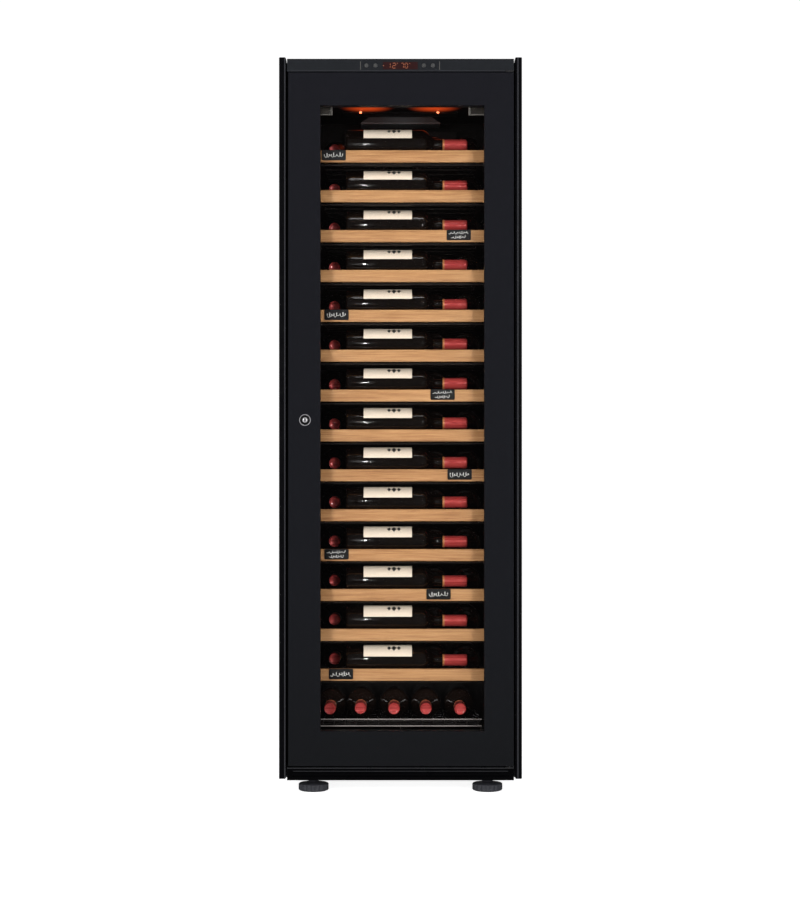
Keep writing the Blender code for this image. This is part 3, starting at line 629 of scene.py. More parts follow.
for number in SHELVES:
    body = f"shelf_{number}"
    board_low, board_high = extent(f"shelf_front_{number}")
    board = Solid().block(board_low, board_high, 0.0011, "X")
    board.piece(f"oak_front_{number}", body, "oak", oak, replaces=[f"shelf_front_{number}"])
    tray_coat.on(nodes[f"shelf_tray_{number}"])
    tray_top = extent(f"shelf_tray_{number}")[1][2]
    cradle_bars(tray_top).piece(f"cradle_{number}", body, "tray_steel", tray_coat)
    row = int(number)
    if row in TAG_CENTRES:
        centre = np.array((TAG_CENTRES[row], board_low[1] - 0.0014, board_high[2] - TAG_DROP))
        tag = Solid().block(centre - TAG_HALF, centre + TAG_HALF, 0.0006, "Y", corner=0.0032)
        lines = ((0.62, 0.0056), (0.62, -0.0052)) if row in TWO_LINES else ((1.0, 0.0),)
        for line, (scale, lift) in enumerate(lines):
            chalk_strokes(tag, centre, row * 1.7 + line, line, scale, lift)
        tag.piece(f"tag_{number}", body, "liner", slate, chalk)


# ---- wire grid on the room's floor
# A grid of black coated wire, welded at its crossings and standing on six capped legs, carries the
# five bottles that lie on the bottom. Its two front wires are coloured paler, a painted highlight
# for the light of the bay.

UP = (0, 0, 1)
coated_wire = moulded_plastic("coated_wire", (0.018, 0.015, 0.014), 0.35)
# A paler copy of the coated wire for the two front wires: a painted highlight.
highlight_front_wire = moulded_plastic("highlight_front_wire", (0.3, 0.27, 0.255), 0.35)
grid_low, grid_high = extent("bottle_grid")
WIRE = 0.0021
RAIL_Z, GRID_Z, BEARER_Z = 0.171, 0.1545, 0.1575
LEG_CAP = [(0.0, 0.0), (0.0042, 0.0), (0.0042, 0.006), (0.0024, 0.0075), (0.0, 0.0075)]
grid = Solid()
front_y, back_y = grid_low[1] + 0.003, grid_high[1] - 0.004
line = np.linspace(grid_low[0] + 0.004, grid_high[0] - 0.004, 3)
for z in (RAIL_Z, GRID_Z):
    grid.wire(track(line, front_y, z), WIRE * 0.8, kind=1)
for y in np.linspace(front_y + 0.0045, back_y, 8):
    grid.wire(track(line, y, GRID_Z), WIRE)
for x in np.linspace(grid_low[0] + 0.012, grid_high[0] - 0.012, 15):
    bend_y = front_y + 0.0022
    path = [(x, bend_y, RAIL_Z), (x, bend_y, 0.16), (x, front_y + 0.006, BEARER_Z), (x, back_y, BEARER_Z)]
    grid.wire(path, 0.0015, 6)
for x in (grid_low[0] + 0.005, 0.0, grid_high[0] - 0.005):
    for y in (front_y + 0.001, back_y - 0.002):
        grid.wire([(x, y, 0.1325), (x, y, 0.155)], WIRE)
        grid.turn(LEG_CAP, (x, y, 0.1308), UP, 12)
grid.piece("wire_grid", "cabinet", "grid_wire", coated_wire, highlight_front_wire, replaces=["bottle_grid"])


# ---- bottles
# Bordeaux bottles of dark glass with a cream paper label and a red capsule. Each shelf holds one
# crosswise in front, one beside it that points forwards and four behind. Five lie on the floor grid.

glass = Finish("bottle_glass", (0.003, 0.003, 0.002), 0.06, Coat_Weight=0.6, Coat_Roughness=0.04)
bloom = glass.noise(38.0, 4.0)
glass.set("Roughness", glass.range(bloom, 0.35, 0.75, 0.05, 0.16))
glass.tint(bloom, (0.0024, 0.0013, 0.001), (0.0046, 0.0026, 0.0018))

paper = Finish("label_paper", (0.83, 0.7, 0.56), 0.72)
fibre = paper.noise(420.0, 5.0, 0.7)
paper_tone = paper.blend(paper.noise(14.0, 3.0), (0.92, 0.78, 0.62), (0.97, 0.83, 0.67))
paper.tint(paper.range(fibre, 0.3, 0.8, 0.0, 0.35), paper_tone, (0.98, 0.86, 0.7))
paper.bump(fibre, 0.35, 0.00012)

foil = Finish("capsule_foil", (0.5, 0.03, 0.034), 0.3, 0.35, Coat_Weight=0.8, Coat_Roughness=0.1)
# The crinkle noise is drawn out along X and also tints the foil dark to bright red: real crinkle, with
# painted sheen streaks.
crinkle_and_sheen = foil.noise(170.0, 3.0, 0.55, (0.05, 1.0, 1.6))
foil.tint(crinkle_and_sheen, (0.33, 0.014, 0.02), (0.86, 0.12, 0.105))
foil.gloss(crinkle_and_sheen, 0.24, 0.4)
foil.bump(crinkle_and_sheen, 0.25, 0.00018)

ink = Finish("label_ornament", (0.055, 0.045, 0.042), 0.6)
ink.tint(ink.noise(300.0), (0.022, 0.02, 0.019), (0.045, 0.04, 0.036))
rim_gold = Finish("capsule_rim", (0.62, 0.24, 0.09), 0.35, 0.3)
rim_gold.gloss(rim_gold.noise(150.0), 0.2, 0.38)

BOTTLE_RADIUS = 0.0375
NECK_RADIUS = 0.0145
SHOULDER_FOOT, SHOULDER_LENGTH = 0.19, 0.034
shoulder = np.linspace(0.0, 1.0, 9)
taper = (0.5 + 0.5 * np.cos(math.pi * shoulder)) ** 0.8
shoulder_radius = NECK_RADIUS + (BOTTLE_RADIUS - NECK_RADIUS) * taper
BOTTLE_PROFILE = [(0.0, 0.012), (0.02, 0.004), (0.03, 0.0), (0.0355, 0.002), (BOTTLE_RADIUS, 0.006)]
BOTTLE_PROFILE += list(zip(shoulder_radius, SHOULDER_FOOT + SHOULDER_LENGTH * shoulder))
BOTTLE_PROFILE += [(NECK_RADIUS, 0.242)]
CAPSULE_PROFILE = [
    (0.014, 0.2405), (0.0147, 0.2412), (0.0147, 0.245), (0.0144, 0.2458), (0.0143, 0.284),
    (0.0147, 0.285), (0.0148, 0.2872), (0.0147, 0.2985), (0.014, 0.301), (0.0128, 0.3022),
    (0.0114, 0.3018), (0.0106, 0.3004), (0.0098, 0.3), (0.0, 0.2998),
]
LABEL_LOW, LABEL_HIGH = 0.0445, 0.1645
LABEL_ANGLES = np.radians(np.linspace(19.0, 128.0, 22))
ORNAMENT_ANGLE = np.radians(57.0)
ORNAMENT_MIDDLE, ORNAMENT_STEP = 0.1198, 0.0122


def wrapped(solid, base, axis, directions_round, corners, kind):
    """A thin sheet that follows the bottle. Its corners are (height off the glass, distance along)."""
    sheet = [(BOTTLE_RADIUS + lift) * directions_round + distance * axis for lift, distance in corners]
    solid.add(base + np.stack(sheet, 1), kind)


def add_bottle(solid, centre, axis, labelled=False):
    """A bottle: its outline turned about its axis, and the capsule over its neck.

    centre is the middle of its base. A label is a sheet round the body between two angles, measured
    round the axis from the direction axis x up towards up, with three diamonds along it.
    """
    solid.turn(BOTTLE_PROFILE, centre, axis, 36)
    solid.turn(CAPSULE_PROFILE[:4], centre, axis, 28, 3)
    solid.turn(CAPSULE_PROFILE[3:], centre, axis, 28, 2)
    if not labelled:
        return
    base, axis, up = (np.array(vector, float) for vector in (centre, axis, UP))
    side = np.cross(axis, up)
    corners = [(0.0001, LABEL_LOW), (0.0004, LABEL_LOW), (0.0004, LABEL_HIGH), (0.0001, LABEL_HIGH)]
    wrapped(solid, base, axis, directions(LABEL_ANGLES, side, up), corners, 1)
    down = np.linspace(-1.0, 1.0, 9)
    for step, size in ((-1, 0.005), (0, 0.0064), (1, 0.005)):
        middle = ORNAMENT_MIDDLE + ORNAMENT_STEP * step
        half = (1.0 - 0.96 * np.abs(down))[:, None] * size
        around = directions(ORNAMENT_ANGLE + 1.5 * size * down / BOTTLE_RADIUS, side, up)
        low, high = middle - half, middle + half
        corners = [(0.0002, low), (0.0002, high), (0.0006, high), (0.0006, low)]
        wrapped(solid, base, axis, around, corners, 4)


FINISHES = (glass, paper, foil, rim_gold, ink)
BACKWARD = (0, 1, 0)
for number in SHELVES:
    top = extent(f"shelf_front_{number}")[1][2]
    tray_top = extent(f"shelf_tray_{number}")[1][2]
    bottles = Solid()
    lift = 0.0205 if number == SHELVES[0] else 0.0165
    add_bottle(bottles, (-0.136, -0.155, top + lift), (1, 0, 0), labelled=True)
    add_bottle(bottles, (-0.166, 0.1905, top + 0.015), FORWARD)
    for x in (-BOTTLE_PITCH, 0.0, BOTTLE_PITCH, 2 * BOTTLE_PITCH):
        add_bottle(bottles, (x, -0.112, tray_top + BOTTLE_RADIUS + 0.0062), BACKWARD)
    bottles.piece(f"bottles_{number}", f"shelf_{number}", "printed_glass", *FINISHES)
bottles = Solid()
for x, lift in ((-0.175, 0.0), (-0.099, 0.001), (-0.016, 0.0), (0.063, 0.0), (0.148, -0.001)):
    add_bottle(bottles, (x, 0.103, 0.1975 + lift), FORWARD)
bottles.piece("bottles_floor", "cabinet", "printed_glass", *FINISHES)


# ---- door
# One sheet of glass over the whole door, printed black outside the window and bonded to a frame bar.
# A second clear pane closes the window behind, and a magnetic gasket seals the frame to the room.

WINDOW_MIDDLE, WINDOW_HALF, WINDOW_LOW, WINDOW_TOP = 0.0045, 0.2, 0.1525, 1.678
PANE_TINT = (0.006, 0.005, 0.005)
printed = Finish("printed_glass", (0.006, 0.0065, 0.008), 0.03, Specular_IOR_Level=0.18)
across = abs(printed.axis("X") - WINDOW_MIDDLE)
upward = printed.axis("Z")
window = (across < WINDOW_HALF) * (upward > WINDOW_LOW) * (upward < WINDOW_TOP)
inner_line = (across > WINDOW_HALF - 0.0008) * window
# Painted reflection: the print is coloured lighter and bluer towards the top of the door.
print_and_painted_reflection = printed.ramp(
    printed.range(upward, 0.07, 1.76, 0.0, 1.0),
    (0.0, (0.0054, 0.0057, 0.0065)),
    (0.25, (0.0059, 0.0062, 0.0076)),
    (1.0, (0.0067, 0.0068, 0.0087)),
)
printed.tint(window, print_and_painted_reflection, (0.004, 0.0035, 0.0035))
printed.set("Alpha", 1.0 - window * 0.955 + inner_line * 0.5)
printed.gloss(printed.noise(4.0, 3.0, 0.5, (1.0, 1.0, 0.35)), 0.02, 0.07)
printed.on(nodes["outer_glass"])

clear = Finish("clear_glass", PANE_TINT, 0.02, Specular_IOR_Level=0.25)
edge = clear.range(abs(clear.axis("X") - WINDOW_MIDDLE), 0.2085, 0.2115, 0.0, 1.0)
clear.set("Alpha", edge * 0.5 + 0.035)
clear.tint(edge, PANE_TINT, (0.16, 0.24, 0.21))
clear.gloss(clear.noise(5.0), 0.02, 0.06)
clear.on(nodes["inner_glass"])

painted_metal("door_frame_paint", (0.01, 0.01, 0.011), 0.38).on(nodes["door_frame"])
rubber = moulded_plastic("gasket_rubber", (0.018, 0.018, 0.018), 0.75, 700.0, 0.0002)
rubber.on(nodes["door_gasket"])


# ---- front trims, fascia and plinth
# Black lacquered bars run full height at both sides, with a fine painted highlight line beside the door.
# The glossy fascia carries the display and a painted highlight along its lower edge, and the plinth
# has two grooves, painted as bright highlight lines.

lacquer = Finish("trim_lacquer", (0.002, 0.002, 0.003), 0.24, Specular_IOR_Level=0.08)
# Painted highlight: a fine bright line down each bar beside the door, where its edge would catch the light.
HIGHLIGHT_SHIFT, HIGHLIGHT_PLACE, HIGHLIGHT_HALF = 0.0022, 0.284, 0.0015
trim_highlight = abs(abs(lacquer.axis("X") - HIGHLIGHT_SHIFT) - HIGHLIGHT_PLACE) < HIGHLIGHT_HALF
fade = lacquer.range(lacquer.noise(2.5, 2.0, 0.5, (1.0, 1.0, 0.3)), 0.3, 0.7, 0.85, 1.15)
dark = lacquer.blend(fade - 0.5, (0.0013, 0.0013, 0.0017), (0.0019, 0.0019, 0.0024))
lacquer.tint(trim_highlight, dark, (0.023, 0.023, 0.026))
lacquer.gloss(lacquer.noise(40.0), 0.18, 0.28)
lacquer.on(nodes["left_trim"], nodes["right_trim"])

fascia_low, fascia_high = extent("control_fascia")
EDGE_LINE, EDGE_HIGHLIGHT_TOP = 0.001, 0.0024
fascia = Finish("fascia_gloss", (0.022, 0.024, 0.027), 0.12, Specular_IOR_Level=0.25)
height = fascia.axis("Z")
across = fascia.axis("X")
edge_lines = (height > fascia_high[2] - 0.0022) + (height < fascia_low[2] + EDGE_LINE)
# Painted highlight: a bright line along the fascia's lower edge, above its dark outline.
lower_edge_highlight = (height > fascia_low[2] + EDGE_LINE) * (height < fascia_low[2] + EDGE_HIGHLIGHT_TOP)
display = (across > -0.0425) * (across < 0.042) * (height > 1.7655) * (height < 1.7835)
panel = fascia.blend(fascia.noise(3.0), (0.0097, 0.0105, 0.0122), (0.011, 0.012, 0.0138))
panel = fascia.blend(display, panel, (0.018, 0.0065, 0.0065))
panel = fascia.blend(lower_edge_highlight, panel, (0.028, 0.029, 0.033))
fascia.tint(edge_lines, panel, (0.004, 0.004, 0.005))
fascia.gloss(fascia.noise(30.0), 0.1, 0.16)
fascia.on(nodes["control_fascia"])

plinth = Finish("plinth_lacquer", (0.001, 0.001, 0.0012), 0.3, Specular_IOR_Level=0.06)
height = plinth.axis("Z")
# Painted highlights: the plinth's two grooves are drawn as bright lines on the black lacquer.
upper_groove_highlight = (height > 0.062) * (height < 0.0634)
lower_groove_highlight = (height > 0.0548) * (height < 0.0558) * (abs(plinth.axis("X")) < 0.262)
sheet = plinth.blend(plinth.noise(6.0), (0.0007, 0.0007, 0.0009), (0.0011, 0.0011, 0.0014))
plinth.tint(upper_groove_highlight + lower_groove_highlight, sheet, (0.03, 0.0305, 0.033))
plinth.gloss(plinth.noise(40.0), 0.26, 0.36)
plinth.on(nodes["plinth_grille"])


# ---- display and buttons
# A two-number LED display lies behind the fascia, between two printed lines. Four flush touch
# buttons carry their symbols as fine printed strokes.

led = Finish(
    "led_segments", (0.1, 0.03, 0.015), 0.35, Emission_Color=(0.3, 0.1, 0.05, 1.0), Emission_Strength=1.0
)
led.tint(led.noise(900.0, 2.0), (0.08, 0.02, 0.01), (0.12, 0.04, 0.02))
pale_print = Finish("pale_print", (0.075, 0.072, 0.065), 0.5)
pale_print.tint(pale_print.noise(700.0), (0.06, 0.058, 0.052), (0.09, 0.086, 0.078))

# A digit's seven segments, lettered as on a data sheet: a on top, then clockwise, and g across.
SEGMENTS = {
    "a": ((-0.5, 1.0), (0.5, 1.0)), "b": ((0.5, 0.0), (0.5, 1.0)), "c": ((0.5, -1.0), (0.5, 0.0)),
    "d": ((-0.5, -1.0), (0.5, -1.0)), "e": ((-0.5, -1.0), (-0.5, 0.0)), "f": ((-0.5, 0.0), (-0.5, 1.0)),
    "g": ((-0.5, 0.0), (0.5, 0.0)),
}
# The lit segments, the middle and half the width of each digit: one, two, seven and nought.
DIGITS = (
    ("bc", -0.029, 0.008), ("abged", -0.0157, 0.008), ("abc", 0.0045, 0.0062), ("afbecd", 0.0142, 0.0062)
)
DIGIT_HALF_HEIGHT, DIGIT_Z = 0.006, 1.7746
SEGMENT_TIP, SEGMENT_HALF = 0.0007, 0.0006
display_y = fascia_low[1] - 0.00018
digits = Solid()
for lit, x, width in DIGITS:
    for segment in lit:
        (a0, b0), (a1, b1) = SEGMENTS[segment]
        start = np.array((x + a0 * width, DIGIT_Z + b0 * DIGIT_HALF_HEIGHT))
        end = np.array((x + a1 * width, DIGIT_Z + b1 * DIGIT_HALF_HEIGHT))
        tip = (end - start) / np.linalg.norm(end - start) * SEGMENT_TIP
        start, end = start + tip, end - tip
        normal = np.array((-tip[1], tip[0])) / SEGMENT_TIP * SEGMENT_HALF
        tips = [start, start + tip + normal, end - tip + normal, end]
        tips = np.array(tips + [end - tip - normal, start + tip - normal])
        digits.add([track(tips[:, 0], y, tips[:, 1]) for y in (display_y, display_y + 0.0004)])
dot = [(0.0, 0.0004), (0.0011, 0.0004), (0.0011, 0.0), (0.0, 0.0)]
digits.turn(dot, (-0.0414, display_y + 0.0004, DIGIT_Z), FORWARD, 14)


def circle(count, first=0.0, last=math.tau):
    """Points (across, up) on a circle of radius one, between two angles."""
    angles = np.linspace(first, last, count)
    return np.stack([np.cos(angles), np.sin(angles)], 1)


for x in (-0.0075, 0.0225):
    degree = (x, 1.78) + 0.001 * circle(17)
    digits.wire(track(degree[:, 0], display_y + 0.0002, degree[:, 1]), 0.00025, 5, caps=False)
digits.piece("display_digits", "cabinet", "fascia", led, smooth=False)
dividers = Solid()
for x in (-0.0975, 0.095):
    low = (x - 0.0006, fascia_low[1] - 0.0002, 1.7645)
    dividers.block(low, (x + 0.0006, fascia_low[1] + 0.0004, 1.785), 0.0002)
dividers.piece("fascia_dividers", "cabinet", "fascia", pale_print)

button_face = moulded_plastic("button_face", (0.03, 0.031, 0.032), 0.3)
RAYS = np.arange(8) * math.tau / 8
ARROW = np.array([(-0.0016, -0.0008), (0.0, 0.0012), (0.0016, -0.0008)])
SYMBOLS = {
    1: [0.0018 * circle(22, *np.radians((125.0, 415.0))), np.array([(0.0, 0.0004), (0.0, 0.0024)])],
    2: [0.0009 * circle(41)] + [np.outer((0.0016, 0.0024), (math.cos(ray), math.sin(ray))) for ray in RAYS],
    3: [ARROW[:2], ARROW[1:]],
    4: [ARROW[:2] * (1, -1), ARROW[1:] * (1, -1)],
}
STROKE = 0.00022
for number, strokes in SYMBOLS.items():
    low, high = extent(f"button_{number}")
    centre = (low + high) / 2
    radius, depth = (high[0] - low[0]) / 2, high[1] - low[1]
    face = [(0.0, 0.0), (radius - 0.0004, 0.0), (radius, -0.0004), (radius, -depth), (0.0, -depth)]
    button = Solid().turn(face, (centre[0], low[1], centre[2]), FORWARD, 40)
    for path in [0.004 * circle(41)] + strokes:
        points = track(centre[0] + path[:, 0], low[1] - 0.00002, centre[2] + path[:, 1])
        button.wire(points, STROKE, 5, 1, caps=path is strokes[0] or len(path) != 41)
    node = f"button_{number}"
    button.piece(f"touch_{node}", node, "button", button_face, pale_print, replaces=[node])


# ---- lock
# A chromed collar is fixed on the door. In it a black disc and a bright key plug turn together with
# the cylinder, whose cam is behind the glass.

chrome = Finish("lock_chrome", (0.46, 0.45, 0.47), 0.22, 0.35)
chrome.gloss(chrome.noise(350.0, 3.0, 0.5, (1.0, 0.1, 1.0)), 0.1, 0.24)
plug_black = moulded_plastic("plug_black", (0.0025, 0.0025, 0.0025), 0.25, Specular_IOR_Level=0.1)
LOCK_X, LOCK_Z = -0.2326, 0.911
lock_y = extent("lock_cylinder")[0][1]
COLLAR = [(0.01215, 0.0), (0.014, 0.0), (0.014, 0.0012), (0.0134, 0.0022), (0.013, 0.0022)]
COLLAR += [(0.01215, 0.001), (0.01215, 0.0)]
DISC = [(0.0, 0.0006), (0.0112, 0.0006), (0.0117, 0.0003), (0.0117, 0.0), (0.0, 0.0)]
PLUG = [(0.0, 0.0012), (0.0054, 0.0012), (0.006, 0.0008), (0.006, 0.0004), (0.0, 0.0004)]
collar = Solid().turn(COLLAR, (LOCK_X, GLASS_FRONT, LOCK_Z), FORWARD, 48)
collar.piece("lock_collar", "door", "lock_chrome", chrome)
chrome.on(nodes["lock_cylinder"])
disc = Solid().turn(DISC, (LOCK_X, lock_y, LOCK_Z), FORWARD, 40)
disc.piece("lock_face", "lock", "lock_chrome", plug_black)
plug = Solid().turn(PLUG, (LOCK_X, lock_y, LOCK_Z), FORWARD, 32)
for half_width, half_height in ((0.0011, 0.0048), (0.0019, 0.0022)):
    low = (LOCK_X - half_width, lock_y - 0.0016, LOCK_Z - half_height)
    high = (LOCK_X + half_width, lock_y - 0.001, LOCK_Z + half_height)
    plug.block(low, high, 0.0002, "Z", 1)
plug.piece("key_slot", "lock", "lock_chrome", chrome, plug_black)


# ---- feet
# Four levelling feet of grey plastic, each with a ribbed grip, sloping shoulders and a short neck.
# A threaded zinc-plated stud is moulded into each and screws into the base tray.

foot_grey = moulded_plastic("foot_moulding", (0.026, 0.027, 0.032), 0.42)
RIBS = 18
RIB_DEPTH = 0.0026
GRIP_LOW, GRIP_HIGH = 0.0042, 0.0152
NECK_TOP = 0.033
THREAD_PITCH = 0.0015
foot_low, foot_high = extent("foot_front_left")
FOOT_REACH = (foot_high[0] - foot_low[0]) / 2
FOOT_PROFILE = [(0.0, 0.0)]
FOOT_PROFILE += [(FOOT_REACH - inset, z) for inset, z in ((0.005, 0.0), (0.002, 0.0012), (0.0004, 0.0032))]
FOOT_PROFILE += [(FOOT_REACH - 0.0002, z) for z in np.linspace(GRIP_LOW, GRIP_HIGH, 6)]
FOOT_PROFILE += [(FOOT_REACH - inset, z) for inset, z in ((0.0008, 0.0168), (0.003, 0.0182))]
FOOT_PROFILE += [(0.0175, 0.0208), (0.014, 0.0222), (0.012, 0.025), (0.012, NECK_TOP), (0.0, NECK_TOP)]
stud_top = foot_high[2] - foot_low[2] - 0.0006
STUD_PROFILE = [(0.0, NECK_TOP)]
STUD_PROFILE += [
    (0.0045 + 0.0004 * math.cos(z * math.tau / THREAD_PITCH), z) for z in np.linspace(NECK_TOP, stud_top, 40)
]
STUD_PROFILE += [(0.0, stud_top)]


def ribbing(radius, along, angle):
    """Flutes cut into the grip, as the fourth power of a sine round the foot, fading at its ends."""
    band = np.clip((along - 0.0036) / 0.0012, 0.0, 1.0) * np.clip((0.0166 - along) / 0.0012, 0.0, 1.0)
    return -RIB_DEPTH * band * np.sin(angle * RIBS / 2) ** 4 * (radius > FOOT_REACH * 0.9)


for corner in ("front_left", "front_right", "rear_left", "rear_right"):
    low, high = extent(f"foot_{corner}")
    base = ((low[0] + high[0]) / 2, (low[1] + high[1]) / 2, low[2])
    foot = Solid().turn(FOOT_PROFILE, base, UP, RIBS * 6, ripple=ribbing)
    foot.turn(STUD_PROFILE, base, UP, 20, 1)
    foot.piece(f"levelling_{corner}", f"foot_{corner}", "foot", foot_grey, zinc, replaces=[f"foot_{corner}"])


# ---- condenser coil and its wires
# Painted steel tube that runs to and fro over the back, stiffened by upright wires welded across
# it and held off the case by four clips.

coil_low, coil_high = extent("condenser_coil")
TUBE_RADIUS = (coil_high[1] - coil_low[1]) / 2
COIL_ROWS = 12
coil_paint = painted_metal("coil_paint", (0.01, 0.01, 0.011), 0.4)
tube_z = np.linspace(coil_low[2] + TUBE_RADIUS, coil_high[2] - TUBE_RADIUS, COIL_ROWS)
tube_y = coil_high[1] - TUBE_RADIUS
bend = (tube_z[1] - tube_z[0]) / 2
straight = coil_high[0] - TUBE_RADIUS - bend
path = []
for row, z in enumerate(tube_z):
    side = 1 if row % 2 == 0 else -1
    path.append(track(np.linspace(-side * straight, side * straight, 3), tube_y, z))
    if row < COIL_ROWS - 1:
        turn = np.linspace(0.0, math.pi, 15)[1:-1]
        path.append(track(side * (straight + bend * np.sin(turn)), tube_y, z + bend - bend * np.cos(turn)))
coil = Solid().wire(np.concatenate(path), TUBE_RADIUS - 0.0001, 10)
wire_y = tube_y - TUBE_RADIUS - 0.0004
for x in np.linspace(-straight, straight, 29):
    coil.wire([(x, wire_y, tube_z[0] - 0.012), (x, wire_y, tube_z[-1] + 0.012)], 0.0008, 6)
coil.piece("condenser", "cabinet", "coil_steel", coil_paint, replaces=["condenser_coil"])
case_back = extent("outer_case")[1][1]
clips = Solid()
for x in (-straight + 0.02, straight - 0.02):
    for z in (tube_z[2], tube_z[9]):
        low, high = (x - 0.008, case_back + 0.0002, z - 0.02), (x + 0.008, case_back + 0.003, z + 0.02)
        clips.block(low, high, 0.001)
        low, high = (x - 0.005, case_back + 0.002, z - 0.006), (x + 0.005, tube_y - TUBE_RADIUS, z + 0.006)
        clips.block(low, high, 0.001, "Y")
clips.piece("coil_clips", "cabinet", "coil_steel", coil_paint)


# ---- compressor, its pipes and its fan
# A deep-drawn steel pot in two halves, welded round its waist and standing on rubber feet. The fan
# beside it blows air across the niche.

pot_low, pot_high = extent("compressor")
pot_centre = (pot_low + pot_high) / 2
pot_reach = (pot_high - pot_low) / 2
pot_paint = painted_metal("pot_paint", (0.012, 0.012, 0.013), 0.3)
WAIST = 0.089
levels = [(0.0, 0.006), (0.7, 0.006), (0.84, 0.02), (0.92, 0.045), (0.945, 0.07)]
levels += [(0.955, 0.0845), (0.995, 0.085), (0.995, 0.0885), (0.94, WAIST)]
for angle in np.linspace(0.0, math.pi / 2, 12):
    share = 0.94 * math.cos(angle) ** 0.75 if angle < 1.57 else 0.0
    levels.append((share, WAIST + (2 * pot_reach[2] - 0.0892) * math.sin(angle)))
levels = np.array(levels)
turns = np.linspace(0.0, math.tau, 48, endpoint=False)
pot = Solid().add(track(
    pot_centre[0] + pot_reach[0] * levels[:, :1] * np.cos(turns),
    pot_centre[1] + pot_reach[1] * levels[:, :1] * np.sin(turns),
    pot_low[2] + levels[:, 1:],
), caps=False)
PUCK = [(0.0, 0.0002), (0.01, 0.0002), (0.011, 0.002), (0.0085, 0.006), (0.0105, 0.01), (0.009, 0.012)]
PUCK += [(0.0, 0.012)]
for side in (-1, 1):
    x = pot_centre[0] + side * pot_reach[0] * 0.62
    for y in (pot_centre[1] - 0.03, pot_centre[1] + 0.03):
        pot.turn(PUCK, (x, y, pot_low[2]), UP, 18, 1)
box_x = pot_centre[0] - pot_reach[0] * 0.93
low = (box_x - 0.008, pot_centre[1] - 0.02, pot_low[2] + 0.05)
high = (box_x + 0.02, pot_centre[1] + 0.02, pot_low[2] + 0.104)
pot.block(low, high, 0.003, "Z", 1)
pot.piece("compressor_pot", "cabinet", "compressor_steel", pot_paint, rubber, replaces=["compressor"])

copper = Finish("copper_pipe", (0.6, 0.27, 0.14), 0.3, 1.0)
tarnish = copper.noise(55.0, 4.0)
copper.tint(tarnish, (0.42, 0.17, 0.09), (0.68, 0.33, 0.18))
copper.gloss(tarnish, 0.22, 0.42)


def smooth_path(points, count):
    """A curve through the points: Catmull-Rom blending between neighbours, sampled evenly."""
    points = np.array(points, float)
    points = np.vstack([2 * points[0] - points[1], points, 2 * points[-1] - points[-2]])
    spot = np.linspace(0.0, len(points) - 3 - 1e-6, count)
    index = spot.astype(int)
    t = (spot - index)[:, None]
    p0, p1, p2, p3 = (points[index + step] for step in range(4))
    curve = 2 * p1 + (p2 - p0) * t + (2 * p0 - 5 * p1 + 4 * p2 - p3) * t**2
    return 0.5 * (curve + (3 * p1 - p0 - 3 * p2 + p3) * t**3)


PIPE_SIDE = (0.31, 0.83, 0.46)
pot_base = np.array((pot_centre[0], pot_centre[1], pot_low[2]))
outlet = pot_base + [
    (0.06, 0.006, 0.128), (0.08, 0.018, 0.15), (0.108, 0.034, 0.152),
    (0.136, 0.05, 0.128), (0.14, 0.056, 0.09), (0.138, 0.052, 0.04),
]
inlet = pot_base + [
    (-0.052, 0.018, 0.134), (-0.075, 0.034, 0.15), (-0.09, 0.05, 0.158), (-0.086, 0.066, 0.178)
]
riser_x = pot_base[0] - 0.086
inlet = np.vstack([inlet, (riser_x, tube_y, pot_base[2] + 0.205), (riser_x, tube_y, tube_z[0] - 0.02)])
pipes = Solid().wire(smooth_path(outlet, 60), 0.0032, 10, across=PIPE_SIDE)
pipes.wire(smooth_path(inlet, 60), 0.003, 10, across=PIPE_SIDE)
pipes.piece("copper_pipes", "cabinet", "coil_steel", copper)

fan_low, fan_high, fan_middle = fan_rotor("condenser_rotor", "condenser_fan", (1, 0, 0))
fan_reach = (fan_high[2] - fan_low[2]) / 2
inner = fan_reach + 0.0015
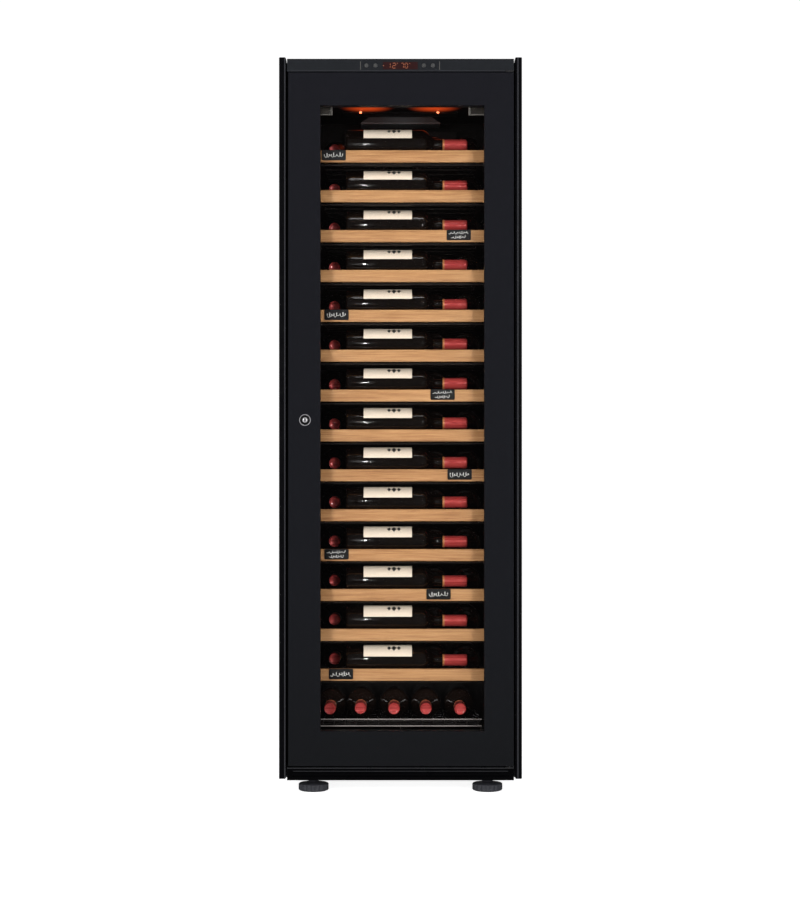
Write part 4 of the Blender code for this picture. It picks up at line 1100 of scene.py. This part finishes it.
# The shroud's outline is a square with its corners cut off by a circle.
outline = 1.0 / np.maximum(np.abs(np.cos(turns)), np.abs(np.sin(turns)))
square = np.minimum(outline * (fan_reach + 0.0045), fan_reach * 1.3)
front_x, back_x = fan_low[0] - 0.003, fan_high[0] + 0.003
sections = (
    (inner, front_x), (square, front_x), (square, front_x + 0.004), (inner + 0.002, front_x + 0.005),
    (inner + 0.002, back_x - 0.005), (square, back_x - 0.004), (square, back_x), (inner, back_x),
    (inner, front_x),
)
shroud = Solid().add([
    track(x, fan_middle[1] + radius * np.cos(turns), fan_middle[2] + radius * np.sin(turns))
    for radius, x in sections
], caps=False)
reach = np.array((0.01, inner + 0.001))
for spoke in range(4):
    turn = math.pi / 4 + spoke * math.pi / 2
    y, z = fan_middle[1] + reach * math.cos(turn), fan_middle[2] + reach * math.sin(turn)
    shroud.wire(track(front_x - 0.001, y, z), 0.0016, 6)
motor_cap = [(0.0, 0.002), (0.012, 0.002), (0.014, 0.0), (0.014, -0.0012), (0.0, -0.0012)]
shroud.turn(motor_cap, (front_x - 0.0016, fan_middle[1], fan_middle[2]), (-1, 0, 0), 24)
shroud.piece("condenser_shroud", "cabinet", "fan", fan_plastic)


# ---- screws
# Zinc-plated screws with domed heads hold the case's back sheet, down both of its edges and
# along the top.

screw_steel = Finish("screw_steel", (0.42, 0.42, 0.43), 0.28, 1.0)
screw_steel.gloss(screw_steel.noise(500.0), 0.2, 0.38)
HEAD_RADIUS, HEAD_HEIGHT = 0.0038, 0.0038 * 0.48
# A head's section is a quarter of an ellipse.
head = [(HEAD_RADIUS * math.cos(a), HEAD_HEIGHT * math.sin(a)) for a in np.linspace(0.0, math.pi / 2, 6)[:-1]]
head = [(0.0, 0.0)] + head + [(0.0, HEAD_HEIGHT)]
back_screws = Solid()
places = [(side, z) for side in (-0.272, 0.272) for z in np.linspace(0.1, 1.76, 7)]
for x, z in places + [(-0.12, 1.772), (0.12, 1.772)]:
    back_screws.turn(head, (x, case_back, z), BACKWARD, 20)
back_screws.piece("back_screws", "cabinet", "coil_steel", screw_steel)
